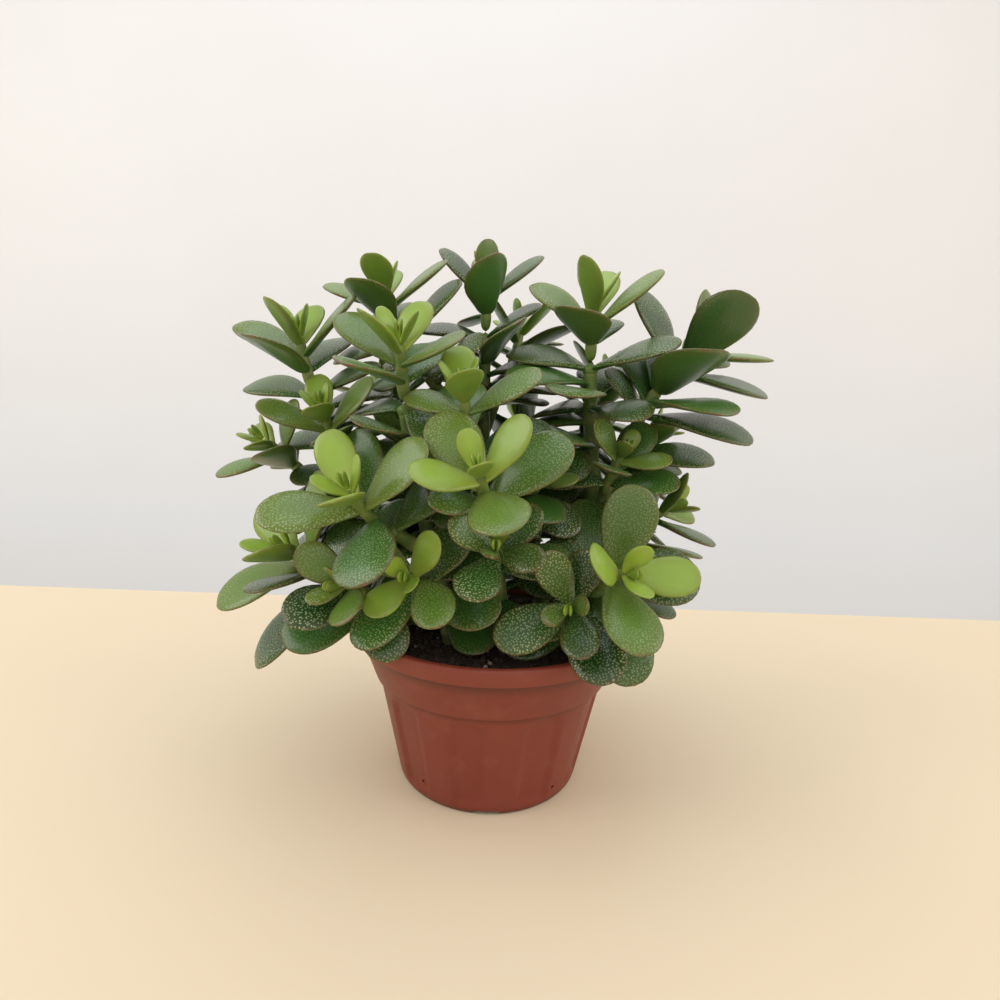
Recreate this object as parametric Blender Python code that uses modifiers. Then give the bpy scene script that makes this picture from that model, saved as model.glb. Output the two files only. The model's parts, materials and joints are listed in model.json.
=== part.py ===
"""Jade plant (Crassula ovata) in a squat plastic nursery pot.

The frame is the pot's: the origin is the middle of its foot, +Z is up and -Y is the front.
Nine stems rise from the potting soil and carry twenty-nine leafy shoots. Leaves grow in opposite pairs,
each pair at a right angle to the one below it. The youngest pairs of a shoot, with its bud and the soft
end of the stem, are one rosette. Each older pair is a piece of its own that clasps the stem.
"""

import math
import random
from collections import namedtuple

import bmesh
import bpy
from mathutils import Matrix, Vector
from mathutils.bvhtree import BVHTree

MM = 0.001
GAP = 0.35 * MM  # clear space between pieces that touch on the real plant
JOINT_GAP = 0.9 * MM  # more of it where a bent stem meets its rosette
WELD = 0.01 * MM
SHARP = math.radians(35)  # an edge that turns by more stays sharp in the shading

# ---------------------------------------------------------------- pot and soil

POT_HEIGHT = 76 * MM
RIM_RADIUS = 65 * MM
WALL = 1.8 * MM
LIP_HEIGHT = 7.5 * MM
LIP_THICKNESS = 2.6 * MM
COLLAR_TOP_RADIUS = 62.6 * MM
COLLAR_FOOT_Z = 51 * MM
COLLAR_FOOT_RADIUS = 56.2 * MM
BODY_TOP_RADIUS = 54.2 * MM
FOOT_RADIUS = 43.5 * MM
FLOOR_Z = 3 * MM  # underside of the floor, above the foot ring
FOOT_RING = 3.4 * MM
FOOT_PAD = 14 * MM  # the middle of the floor comes down to the ground
FOOT_NOTCHES = 4
NOTCH_WIDTH = 12 * MM
NOTCH_HEIGHT = 1.8 * MM
WEEP_RADIUS = 0.8 * MM  # two pinholes low in the front wall
WEEP_ANGLES = (-131, -49)
WEEP_Z = 8 * MM
POT_STEPS = 40
FLUTES = 10
FLUTE_DEPTH = 0.9 * MM
FLUTE_TOP_Z = 46 * MM
FLUTE_FOOT_Z = 6 * MM
DRAIN_HOLES = 8
DRAIN_RADIUS = 2.6 * MM
DRAIN_CIRCLE = 30 * MM
SOIL_EDGE_Z = 67.5 * MM
SOIL_MOUND = 3 * MM

TERRACOTTA = (0.300, 0.062, 0.030)
PEAT = (0.018, 0.012, 0.009)
STEM_GREEN = (0.105, 0.190, 0.045)
LEAF_DARK = (0.045, 0.120, 0.030)
LEAF_FRESH = (0.240, 0.400, 0.050)

# ------------------------------------------------------------------ the plant

# A stem's foot stands in the soil. Its leader shoot ends it.
Stem = namedtuple("Stem", "name foot leader radius")
STEMS = (
    Stem("a", (-30, 2), "left_top", 4.6),
    Stem("b", (-13, -18), "mid_left_top", 4.6),
    Stem("c", (5, -20), "centre_front", 4.4),
    Stem("d", (33, 4), "right_top", 5.2),
    Stem("e", (36, -10), "low_right", 4.2),
    Stem("f", (-34, -18), "low_left", 4.2),
    Stem("g", (-4, 16), "crown", 4.8),
    Stem("h", (20, 30), "back_right", 4.6),
    Stem("i", (-26, 30), "back_left", 4.4),
)

# A shoot's tip is in millimetres and aim is the way it points. roll turns its youngest pair about the stem,
# in degrees from level. spread opens its leaves, vigour scales them, and old is how many separate pairs stand
# below the rosette. parent and leaves_at say where a side shoot leaves its stem. A leader has None.
Shoot = namedtuple("Shoot", "name tip aim roll spread vigour old parent leaves_at")
SHOOTS = (
    Shoot("low_right", (52, -55, 113), (0.50, -0.85, 0.20), 85, 1.00, 1.08, 1, None, 0),
    Shoot("low_front_left", (-34, -55, 109), (-0.10, -0.95, 0.20), -45, 1.00, 0.88, 0, "b", 0.25),
    Shoot("front_left", (-56, -58, 143), (-0.25, -0.45, 0.85), 15, 1.00, 1.05, 1, "b", 0.40),
    Shoot("front_mid", (-7, -62, 152), (-0.20, -0.55, 0.80), 115, 1.10, 1.05, 1, "c", 0.50),
    Shoot("centre_front", (-15, -42, 183), (-0.10, -0.35, 0.93), 5, 1.00, 0.95, 0, None, 0),
    Shoot("mid_left_top", (-42, -32, 202), (0.00, -0.35, 0.95), -25, 1.05, 0.98, 1, None, 0),
    Shoot("right_top", (41, 0, 225), (0.03, -0.15, 1.00), -22, 0.90, 1.05, 2, None, 0),
    Shoot("right_far", (94, 4, 207), (0.75, 0.10, 0.50), 80, 0.80, 1.20, 0, "d", 0.45),
    Shoot("right_mid", (82, 28, 168), (0.80, -0.10, 0.50), 80, 1.00, 0.85, 0, "d", 0.33),
    Shoot("low_mid_right", (30, -56, 99), (-0.20, -0.90, 0.08), 28, 1.05, 0.95, 0, "e", 0.40),
    Shoot("left_top", (-94, 0, 207), (-0.15, -0.10, 0.97), -15, 0.95, 1.00, 1, None, 0),
    Shoot("left_mid", (-79, -15, 173), (-0.20, -0.25, 0.90), 20, 0.90, 0.85, 0, "a", 0.55),
    Shoot("left_far", (-109, -5, 158), (-0.60, -0.25, 0.60), 30, 1.00, 0.80, 0, "a", 0.42),
    Shoot("low_far_left", (-60, -54, 104), (-0.60, -0.70, 0.10), 50, 1.00, 0.95, 0, "f", 0.38),
    Shoot("low_left", (-90, -31, 113), (-0.60, -0.35, 0.55), 20, 1.05, 1.18, 1, None, 0),
    Shoot("crown", (-9, 30, 241), (0.00, 0.00, 1.00), 5, 0.80, 1.00, 0, None, 0),
    Shoot("left_crown", (-58, 18, 233), (-0.05, 0.00, 1.00), 0, 1.00, 0.95, 1, "g", 0.55),
    Shoot("low_centre", (0, -56, 122), (0.05, -0.85, 0.30), 70, 1.00, 0.85, 0, "c", 0.24),
    Shoot("mid_centre", (20, -18, 150), (0.05, -0.50, 0.75), 30, 1.00, 0.85, 1, "g", 0.35),
    Shoot("inner_right", (56, -14, 158), (0.30, -0.60, 0.70), 60, 1.00, 0.85, 0, "d", 0.30),
    Shoot("inner_left", (-40, -4, 165), (-0.25, -0.35, 0.85), 60, 1.00, 0.90, 1, "b", 0.42),
    Shoot("right_low", (84, 0, 132), (0.80, -0.30, 0.40), 45, 1.00, 0.90, 1, "e", 0.48),
    Shoot("back_right", (62, 62, 196), (0.35, 0.50, 0.80), 30, 0.95, 1.00, 1, None, 0),
    Shoot("back_mid", (12, 84, 172), (0.05, 0.80, 0.60), 10, 1.00, 1.00, 1, "h", 0.50),
    Shoot("low_back_right", (70, 62, 126), (0.65, 0.60, 0.30), 35, 1.00, 0.95, 1, "h", 0.35),
    Shoot("back_left", (-66, 66, 186), (-0.45, 0.50, 0.75), 20, 0.95, 1.00, 1, None, 0),
    Shoot("low_back_left", (-84, 40, 128), (-0.80, 0.30, 0.30), 15, 1.00, 0.95, 1, "i", 0.35),
    Shoot("low_back_mid", (-8, 78, 118), (-0.10, 0.90, 0.35), 60, 1.00, 0.95, 1, "i", 0.38),
    Shoot("back_crown", (10, 56, 222), (0.10, 0.35, 0.95), 45, 1.00, 0.95, 1, "g", 0.60),
)

# From the bud down, pair by pair: distance below the tip, leaf length and opening from the stem.
Age = namedtuple("Age", "below length opening")
AGES = (
    Age(2.5, 17, 32),
    Age(6, 28, 47),
    Age(11.5, 36, 57),
    Age(18.5, 39, 64),
    Age(30, 41, 70),
    Age(43, 41, 76),
)
ROSETTE_AGES = 4
BUD_LENGTH = 8 * MM
BUD_RADIUS = 2.3 * MM
STUB = 27 * MM  # the soft stem that belongs to the rosette
CLASP = 2.2 * MM  # half the height of the collar that joins an older pair round its stem
CLASP_WALL = 1.5 * MM

SEED = 11
LEAF_ROOM = 0.8 * MM  # air that a leaf keeps round itself
STEM_ROOM = 1.2 * MM  # and off a stem
LIGHT = Vector((-0.1, -0.75, 0.65))  # the window that the leaves turn their faces to
MOST_TWIST = 0.6  # radians
TWIST_SHARE = 0.45  # of the way from where a leaf grew to the light
LEAF_SHARE = 0.59  # width of the youngest leaf as a share of its length
LEAF_BROADER = 0.02  # added to that with each pair
THIN_LEAF = 1.5 * MM
LEAF_SOLIDITY = 0.062  # thickness that each unit of length adds
FIRST_BEND = -4  # degrees that the youngest leaf curls inwards, and each older pair bends out by more
BEND_STEP = 6
WIDEST_AT = 0.64  # of the way from base to tip
NECK = 0.30  # width at the base as a share of the widest
CUP = 0.10  # how far the edges stand up, as a share of half the width
LEAF_SIDES = 4
LEAF_RINGS = 4
STEM_SIDES = 2  # bevel resolution: eight sides
SHOOT_SIDES = 1  # six sides
STEM_STEP = 11 * MM
TIP_RADIUS = 1.9 * MM
BRANCH_RADIUS = 3.1 * MM
TAPER = 0.86  # a stem's radius just under its soft end, as a share of BRANCH_RADIUS
SOFT_END = 30 * MM
RISE = 0.42  # handles of a stem's curve, as shares of its reach
BOW = 0.36
FORK_CLEAR = 2 * MM
BURIED = 26 * MM

# A leaf that would grow into another one opens, closes, turns aside or stays smaller: (opening, turn, size)
POSTURES = (
    (0, 0, 1.0), (7, 0, 1.0), (-7, 0, 1.0), (0, 9, 1.0), (0, -9, 1.0),
    (12, 7, 0.95), (-12, -7, 0.95), (12, -7, 0.95), (-12, 7, 0.95),
    (0, 16, 0.9), (0, -16, 0.9), (18, 0, 0.9), (-18, 0, 0.9), (24, 12, 0.88), (24, -12, 0.88),
    (0, 0, 0.8), (12, 16, 0.78), (12, -16, 0.78), (-12, 16, 0.78), (-12, -16, 0.78),
    (30, 0, 0.85), (-30, 0, 0.85), (0, 30, 0.85), (0, -30, 0.85), (34, 22, 0.75), (34, -22, 0.75),
    (0, 0, 0.65), (16, 10, 0.6), (-16, -10, 0.6), (0, 40, 0.75), (0, -40, 0.75), (0, 0, 0.5),
)

Leaf = namedtuple("Leaf", "base along normal length width thickness bend twist age")


def shoot_named(name):
    return next(s for s in SHOOTS if s.name == name)


class Path:
    """A smooth stem line from one point to another, with a radius that tapers."""

    def __init__(self, start, leave, end, aim, radius, tip_radius, steps=14):
        reach = (end - start).length
        handle_a = start + leave.normalized() * reach * RISE
        handle_b = end - aim.normalized() * reach * BOW
        self.points = []
        for i in range(steps + 1):
            t = i / steps
            u = 1 - t
            self.points.append(
                u**3 * start + 3 * u * u * t * handle_a + 3 * u * t * t * handle_b + t**3 * end
            )
        self.lengths = [0.0]
        for a, b in zip(self.points, self.points[1:]):
            self.lengths.append(self.lengths[-1] + (b - a).length)
        self.length = self.lengths[-1]
        self.radius, self.tip_radius = radius, tip_radius
        self.fork = 0.0

    def at(self, distance):
        """Point, tangent and radius at a distance from the start."""
        distance = min(max(distance, 0.0), self.length)
        i = 1
        while i < len(self.lengths) - 1 and self.lengths[i] < distance:
            i += 1
        a, b = self.points[i - 1], self.points[i]
        share = (distance - self.lengths[i - 1]) / (self.lengths[i] - self.lengths[i - 1])
        before = self.points[max(i - 2, 0)]
        after = self.points[min(i + 1, len(self.points) - 1)]
        tangent = ((b - before) * (1 - share) + (after - a) * share).normalized()
        return a.lerp(b, share), tangent, self.radius_at(distance)

    def radius_at(self, distance):
        left = max(self.length - distance, 0.0)
        body = self.radius + (BRANCH_RADIUS * TAPER - self.radius) * distance / self.length
        return self.tip_radius + (body - self.tip_radius) * min(left / SOFT_END, 1.0) ** 0.8


def fork_end(path, parent):
    """How far a side shoot runs before it is clear of the stem that it grew from."""
    samples = 40
    beside = [parent.at(parent.length * i / samples)[0] for i in range(samples + 1)]
    for i in reversed(range(samples)):
        point, _, radius = path.at(path.length * i / samples)
        if min((point - other).length for other in beside) < radius + parent.radius + FORK_CLEAR:
            return path.length * (i + 1) / samples
    return 0.0


def stub(path):
    """Length of a rosette's own stem."""
    return min(STUB, path.length - path.fork)


def stem_paths():
    """The line of every shoot, leaders first, because side shoots start on them."""
    paths = {}
    for stem in STEMS:
        leader = shoot_named(stem.leader)
        foot = Vector((stem.foot[0] * MM, stem.foot[1] * MM, SOIL_EDGE_Z - BURIED))
        tip = Vector(leader.tip) * MM
        away = Vector((foot.x * 4, foot.y * 4, 0.35))
        paths[leader.name] = Path(
            foot, away, tip, Vector(leader.aim), stem.radius * MM, TIP_RADIUS
        )
    for shoot in SHOOTS:
        if shoot.parent is None:
            continue
        stem = next(s for s in STEMS if s.name == shoot.parent)
        parent = paths[stem.leader]
        start, tangent, radius = parent.at(parent.length * shoot.leaves_at)
        tip = Vector(shoot.tip) * MM
        outward = (tip - start).normalized()
        paths[shoot.name] = Path(
            start, tangent * 0.3 + outward, tip, Vector(shoot.aim), BRANCH_RADIUS, TIP_RADIUS, 11
        )
        paths[shoot.name].fork = fork_end(paths[shoot.name], parent)
    return paths


def across_of(aim):
    """A level reference across the stem, nearest to +X."""
    reference = Vector((1, 0, 0)) if abs(aim.x) < 0.8 else Vector((0, -1, 0))
    return (reference - aim * reference.dot(aim)).normalized()


def nominal_leaf(shoot, path, level, side, posture, rng_values):
    """The leaf of one pair on one side of the stem, before it gives way to its neighbours."""
    size_jitter, open_jitter, turn_jitter = rng_values
    opening, turn, size = posture
    age = AGES[level]
    tip_aim = path.at(path.length)[1]
    point, tangent, radius = path.at(path.length - age.below * MM)
    first = across_of(tip_aim)
    first = (first - tangent * first.dot(tangent)).normalized()
    second = tangent.cross(first)
    angle = math.radians(shoot.roll + 90 * level + 180 * side + turn + turn_jitter)
    radial = first * math.cos(angle) + second * math.sin(angle)
    open_angle = math.radians(age.opening * shoot.spread + opening + open_jitter)
    along = tangent * math.cos(open_angle) + radial * math.sin(open_angle)
    normal = tangent * math.sin(open_angle) - radial * math.cos(open_angle)
    length = age.length * MM * shoot.vigour * size * size_jitter
    light = (LIGHT - along * LIGHT.dot(along)).normalized()
    lean = normal.angle(light) * (1 if along.dot(normal.cross(light)) > 0 else -1)
    twist = max(-MOST_TWIST, min(MOST_TWIST, lean * TWIST_SHARE)) * min(1.0, (level + 1) / 2)
    share = (LEAF_SHARE + LEAF_BROADER * min(level, 3)) * (2 - size_jitter) ** 1.5
    return Leaf(
        base=point + radial * radius * 0.25,
        along=along,
        normal=normal,
        length=length,
        width=length * share,
        thickness=THIN_LEAF + length * LEAF_SOLIDITY,
        bend=math.radians(FIRST_BEND + BEND_STEP * level),
        twist=twist,
        age=level,
    )


def half_width(leaf, t):
    """Obovate outline: a narrow base, widest past the middle and a round end."""
    if t > WIDEST_AT:
        return 0.5 * leaf.width * math.sqrt(max(0.0, 1 - ((t - WIDEST_AT) / (1 - WIDEST_AT)) ** 2))
    s = t / WIDEST_AT
    rise = NECK + (1 - NECK) * (s * s * (3 - 2 * s)) ** 0.85
    return 0.5 * leaf.width * rise * min(1.0, math.sqrt(t / 0.04 + 1e-9))


def half_thickness(leaf, t):
    """Thickest just below the middle, and closed at both ends."""
    s = max(0.0, 1 - abs(2 * t - 0.9) ** 2.6 / 1.1**2.6)
    return 0.5 * leaf.thickness * s**0.5 * min(1.0, math.sqrt(t / 0.04 + 1e-9))


def leaf_point(leaf, t, turn, grow=0.0):
    """A point of the leaf's skin: t runs from base to tip and turn goes round, 0 at one edge."""
    bent = leaf.bend * t
    if abs(leaf.bend) < 1e-4:
        middle = leaf.base + leaf.along * leaf.length * t
    else:
        reach = leaf.length / leaf.bend
        middle = (
            leaf.base
            + leaf.along * reach * math.sin(bent)
            - leaf.normal * reach * (1 - math.cos(bent))
        )
    along = leaf.along * math.cos(bent) - leaf.normal * math.sin(bent)
    normal = leaf.normal * math.cos(bent) + leaf.along * math.sin(bent)
    spin = Matrix.Rotation(leaf.twist * min(1.0, t / 0.35), 3, along)
    normal = spin @ normal
    across = along.cross(normal)
    wide = half_width(leaf, t) + grow
    thick = half_thickness(leaf, t) + grow
    cup = CUP * math.cos(turn) ** 2 * wide
    return middle + across * wide * math.cos(turn) + normal * (thick * math.sin(turn) + cup)


def leaf_cage(leaf, first=0.0, grow=0.0):
    """A sphere drawn out into the leaf, pole to pole. first leaves out the base, grow makes it fatter."""
    sphere = bmesh.new()
    bmesh.ops.create_uvsphere(
        sphere, u_segments=LEAF_SIDES, v_segments=LEAF_RINGS, radius=1.0
    )
    for vertex in sphere.verts:
        share = (1 + vertex.co.z) / 2
        turn = math.atan2(vertex.co.y, vertex.co.x)
        t = first + (1 - first) * share
        if 0.001 < share < 0.999:
            vertex.co = leaf_point(leaf, t, turn, grow)
        else:
            spot = leaf_point(leaf, t, math.pi / 2)
            under = leaf_point(leaf, t, -math.pi / 2)
            vertex.co = (spot + under) / 2
    bmesh.ops.recalc_face_normals(sphere, faces=sphere.faces)
    return sphere


def tree_of(mesh):
    tree = BVHTree.FromBMesh(mesh)
    mesh.free()
    return tree


def path_tree(path, start, end):
    """A grid rolled into a coarse tube round a stem's line, for the growth rule."""
    rolled = bmesh.new()
    steps = max(4, int((end - start) / (6 * MM)))
    bmesh.ops.create_grid(rolled, x_segments=8, y_segments=steps, size=1.0)
    for vertex in rolled.verts:
        turn = math.pi * (1 + vertex.co.x)
        point, tangent, radius = path.at(start + (end - start) * (1 + vertex.co.y) / 2)
        first = across_of(tangent)
        second = tangent.cross(first)
        reach = radius + STEM_ROOM
        vertex.co = point + reach * (first * math.cos(turn) + second * math.sin(turn))
    return tree_of(rolled)


def pot_tree():
    """The pot's rim and wall as a plain cone with a brim, and the soil's surface."""
    bowl = bmesh.new()
    brim = RIM_RADIUS + 2 * GAP
    bmesh.ops.create_cone(
        bowl, segments=40, radius1=FOOT_RADIUS, radius2=brim, depth=POT_HEIGHT + GAP,
        matrix=Matrix.Translation((0, 0, (POT_HEIGHT + GAP) / 2)),
    )
    bmesh.ops.create_cone(
        bowl, segments=40, radius1=RIM_RADIUS - LIP_THICKNESS - GAP, radius2=brim, depth=1e-5,
        matrix=Matrix.Translation((0, 0, POT_HEIGHT + GAP)),
    )
    bmesh.ops.create_circle(
        bowl, segments=40, radius=RIM_RADIUS - LIP_THICKNESS, cap_ends=True,
        matrix=Matrix.Translation((0, 0, SOIL_EDGE_Z + SOIL_MOUND + 1 * MM)),
    )
    return tree_of(bowl)


def grow_plant():
    """Paths of the stems and, for each shoot and level, the leaves that found room."""
    paths = stem_paths()
    rng = random.Random(SEED)
    obstacles = [("pot", pot_tree())]
    for shoot in SHOOTS:
        path = paths[shoot.name]
        obstacles.append((shoot.name, path_tree(path, 0.0, path.length - 2 * MM)))
    leaves = {}
    for level in range(len(AGES)):
        for shoot in SHOOTS:
            path = paths[shoot.name]
            below = AGES[level].below * MM
            room = stub(path) if level < ROSETTE_AGES else path.length - path.fork
            if level >= ROSETTE_AGES + shoot.old or below + 3 * MM > room:
                leaves[shoot.name, level] = []
                continue
            grown = []
            for side in (0, 1):
                jitter = (rng.uniform(0.92, 1.08), rng.uniform(-6, 6), rng.uniform(-7, 7))
                own = "rosette" if level < ROSETTE_AGES else "pair%d" % level
                for posture in POSTURES:
                    leaf = nominal_leaf(shoot, path, level, side, posture, jitter)
                    whole = tree_of(leaf_cage(leaf, 0.0, LEAF_ROOM))
                    blade = tree_of(leaf_cage(leaf, 0.14 if level else 0.35, LEAF_ROOM))
                    if not any(
                        (blade if name == shoot.name else whole).overlap(other)
                        for name, other in obstacles
                        if name != (shoot.name, own)
                    ):
                        grown.append((leaf, whole))
                        break
            for leaf, tree in grown:
                obstacles.append(((shoot.name, own), tree))
            leaves[shoot.name, level] = [leaf for leaf, _ in grown]
    return paths, leaves


# ------------------------------------------------------------- making the pieces


def clear_scene():
    for old in list(bpy.data.objects):
        bpy.data.objects.remove(old)


def collection(name):
    made = bpy.data.collections.new(name)
    bpy.context.scene.collection.children.link(made)
    return made


def material(name, colour, roughness):
    made = bpy.data.materials.new(name)
    made.use_nodes = True
    shader = made.node_tree.nodes["Principled BSDF"]
    shader.inputs["Base Color"].default_value = (*colour, 1.0)
    shader.inputs["Roughness"].default_value = roughness
    shader.inputs["Metallic"].default_value = 0.0
    return made


def mesh_object(name, bm, group):
    mesh = bpy.data.meshes.new(name)
    bm.to_mesh(mesh)
    bm.free()
    made = bpy.data.objects.new(name, mesh)
    group.objects.link(made)
    return made


def helper(obj):
    """Hides an object that only serves to make another."""
    obj.hide_render = True
    obj.display_type = "WIRE"
    return obj


def evaluated_mesh(obj):
    """The object's mesh with its modifiers, and a curve's caps welded."""
    bpy.context.view_layer.update()
    graph = bpy.context.evaluated_depsgraph_get()
    mesh = bpy.data.meshes.new_from_object(obj.evaluated_get(graph))
    welded = bmesh.new()
    welded.from_mesh(mesh)
    bmesh.ops.remove_doubles(welded, verts=welded.verts, dist=WELD)
    bmesh.ops.recalc_face_normals(welded, faces=welded.faces)
    for face in welded.faces:
        face.smooth = True
    for edge in welded.edges:
        edge.smooth = edge.calc_face_angle(0.0) < SHARP
    welded.to_mesh(mesh)
    welded.free()
    return mesh


def baked(obj, name, group):
    """A plain mesh object of what obj evaluates to. obj is removed."""
    mesh = evaluated_mesh(obj)
    place = obj.matrix_world.copy()
    bpy.data.objects.remove(obj)
    made = bpy.data.objects.new(name, mesh)
    made.matrix_world = place
    group.objects.link(made)
    return made


def tube(name, path, start, end, extra, group, step=STEM_STEP, sides=STEM_SIDES):
    """A stretch of stem as a tapered round bar. extra is added to its radius."""
    curve = bpy.data.curves.new(name, "CURVE")
    curve.dimensions = "3D"
    curve.bevel_depth = 1.0  # so that a point's radius is in metres
    curve.bevel_resolution = sides
    curve.use_fill_caps = True
    line = curve.splines.new("POLY")
    steps = max(1, round((end - start) / step))
    line.points.add(steps)
    for i in range(steps + 1):
        point, _, radius = path.at(start + (end - start) * i / steps)
        line.points[i].co = (*point, 1.0)
        line.points[i].radius = radius + extra
    made = bpy.data.objects.new(name, curve)
    group.objects.link(made)
    return baked(made, name, group)


def combine(target, others, operation):
    """One Boolean with several operands, applied to target. The operands are removed."""
    operands = bpy.data.collections.new("operands")
    bpy.context.scene.collection.children.link(operands)
    for other in others:
        operands.objects.link(helper(other))
    cut = target.modifiers.new("combine", "BOOLEAN")
    cut.operation = operation
    cut.solver = "EXACT"
    cut.use_self = operation == "UNION"
    if len(others) == 1:
        cut.object = others[0]
    else:
        cut.operand_type = "COLLECTION"
        cut.collection = operands
    mesh = evaluated_mesh(target)
    target.modifiers.clear()
    target.data = mesh
    for other in others:
        bpy.data.objects.remove(other)
    bpy.data.collections.remove(operands)
    return target


def make_pot(group, cutters, plastic):
    """A thin wall turned round +Z, pressed into flutes, with a notched foot ring and drain holes."""
    inner_foot = FOOT_RADIUS - WALL
    profile = [
        (0.0, 0.0),
        (FOOT_PAD, 0.0),
        (FOOT_PAD + FLOOR_Z, FLOOR_Z),
        (FOOT_RADIUS - FOOT_RING, FLOOR_Z),
        (FOOT_RADIUS - FOOT_RING + 0.6 * MM, 0.0),
        (FOOT_RADIUS - 0.8 * MM, 0.0),
        (FOOT_RADIUS, 1.0 * MM),
        wall_at(FLUTE_FOOT_Z),
        wall_at(FLUTE_FOOT_Z + 3 * MM),
        wall_at(FLUTE_TOP_Z - 3 * MM),
        wall_at(FLUTE_TOP_Z),
        (BODY_TOP_RADIUS, COLLAR_FOOT_Z - 0.8 * MM),
        (COLLAR_FOOT_RADIUS, COLLAR_FOOT_Z),
        (COLLAR_TOP_RADIUS, POT_HEIGHT - LIP_HEIGHT),
        (RIM_RADIUS, POT_HEIGHT - LIP_HEIGHT + 0.8 * MM),
        (RIM_RADIUS, POT_HEIGHT - 0.8 * MM),
        (RIM_RADIUS - 0.8 * MM, POT_HEIGHT),
        (RIM_RADIUS - LIP_THICKNESS, POT_HEIGHT),
        (COLLAR_TOP_RADIUS - WALL, POT_HEIGHT - LIP_HEIGHT),
        (COLLAR_FOOT_RADIUS - WALL, COLLAR_FOOT_Z + 1 * MM),
        (BODY_TOP_RADIUS - WALL, COLLAR_FOOT_Z - 2 * MM),
        (inner_foot, FLOOR_Z + WALL + 1.5 * MM),
        (inner_foot - 1.5 * MM, FLOOR_Z + WALL),
        (0.0, FLOOR_Z + WALL),
    ]
    wall = bmesh.new()
    corners = [wall.verts.new((r, 0, z)) for r, z in profile]
    for a, b in zip(corners, corners[1:]):
        wall.edges.new((a, b))
    turned = mesh_object("pot_profile", wall, group)
    screw = turned.modifiers.new("turn", "SCREW")
    screw.axis = "Z"
    screw.steps = screw.render_steps = POT_STEPS
    screw.use_merge_vertices = True
    screw.merge_threshold = WELD
    pot = baked(turned, "pot", group)
    for vertex in pot.data.vertices:
        press_flute(vertex)
    cuts = []
    for i in range(DRAIN_HOLES):
        angle = 2 * math.pi * (i + 0.5) / DRAIN_HOLES
        bpy.ops.mesh.primitive_cylinder_add(
            vertices=8, radius=DRAIN_RADIUS, depth=6 * WALL,
            location=(DRAIN_CIRCLE * math.cos(angle), DRAIN_CIRCLE * math.sin(angle), FLOOR_Z),
        )
        cuts.append(claimed(bpy.context.object, cutters))
    for i in range(FOOT_NOTCHES):
        angle = 2 * math.pi * i / FOOT_NOTCHES
        bpy.ops.mesh.primitive_cube_add(
            size=1, scale=(4 * FOOT_RING, NOTCH_WIDTH, 2 * NOTCH_HEIGHT), rotation=(0, 0, angle),
            location=(FOOT_RADIUS * math.cos(angle), FOOT_RADIUS * math.sin(angle), 0),
        )
        cuts.append(claimed(bpy.context.object, cutters))
    for degrees in WEEP_ANGLES:
        angle = math.radians(degrees)
        bpy.ops.mesh.primitive_cylinder_add(
            vertices=6, radius=WEEP_RADIUS, depth=8 * WALL, rotation=(0, math.pi / 2, angle),
            location=(FOOT_RADIUS * math.cos(angle), FOOT_RADIUS * math.sin(angle), WEEP_Z),
        )
        cuts.append(claimed(bpy.context.object, cutters))
    combine(pot, cuts, "DIFFERENCE")
    pot.data.materials.append(plastic)
    return pot


def wall_at(z):
    """Radius and height of the body's outer wall, between the flutes."""
    share = z / (COLLAR_FOOT_Z - 0.8 * MM)
    return (FOOT_RADIUS + (BODY_TOP_RADIUS - FOOT_RADIUS) * share, z)


def press_flute(vertex):
    """Moves an outer vertex of the body inwards where a flute is pressed."""
    radius = math.hypot(vertex.co.x, vertex.co.y)
    outer, _ = wall_at(vertex.co.z)
    inside = FLUTE_FOOT_Z + 1 * MM < vertex.co.z < FLUTE_TOP_Z - 1 * MM
    if not inside or abs(radius - outer) > 0.2 * MM:
        return
    steps_per_flute = POT_STEPS // FLUTES
    step = round(math.atan2(vertex.co.y, vertex.co.x) / (2 * math.pi) * POT_STEPS) % steps_per_flute
    if step < steps_per_flute // 2:
        vertex.co.x *= 1 - FLUTE_DEPTH / radius
        vertex.co.y *= 1 - FLUTE_DEPTH / radius


def claimed(obj, group):
    """Moves an object that an operator made into a collection of this file's own."""
    for owner in list(obj.users_collection):
        owner.objects.unlink(obj)
    group.objects.link(obj)
    return helper(obj)


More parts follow.
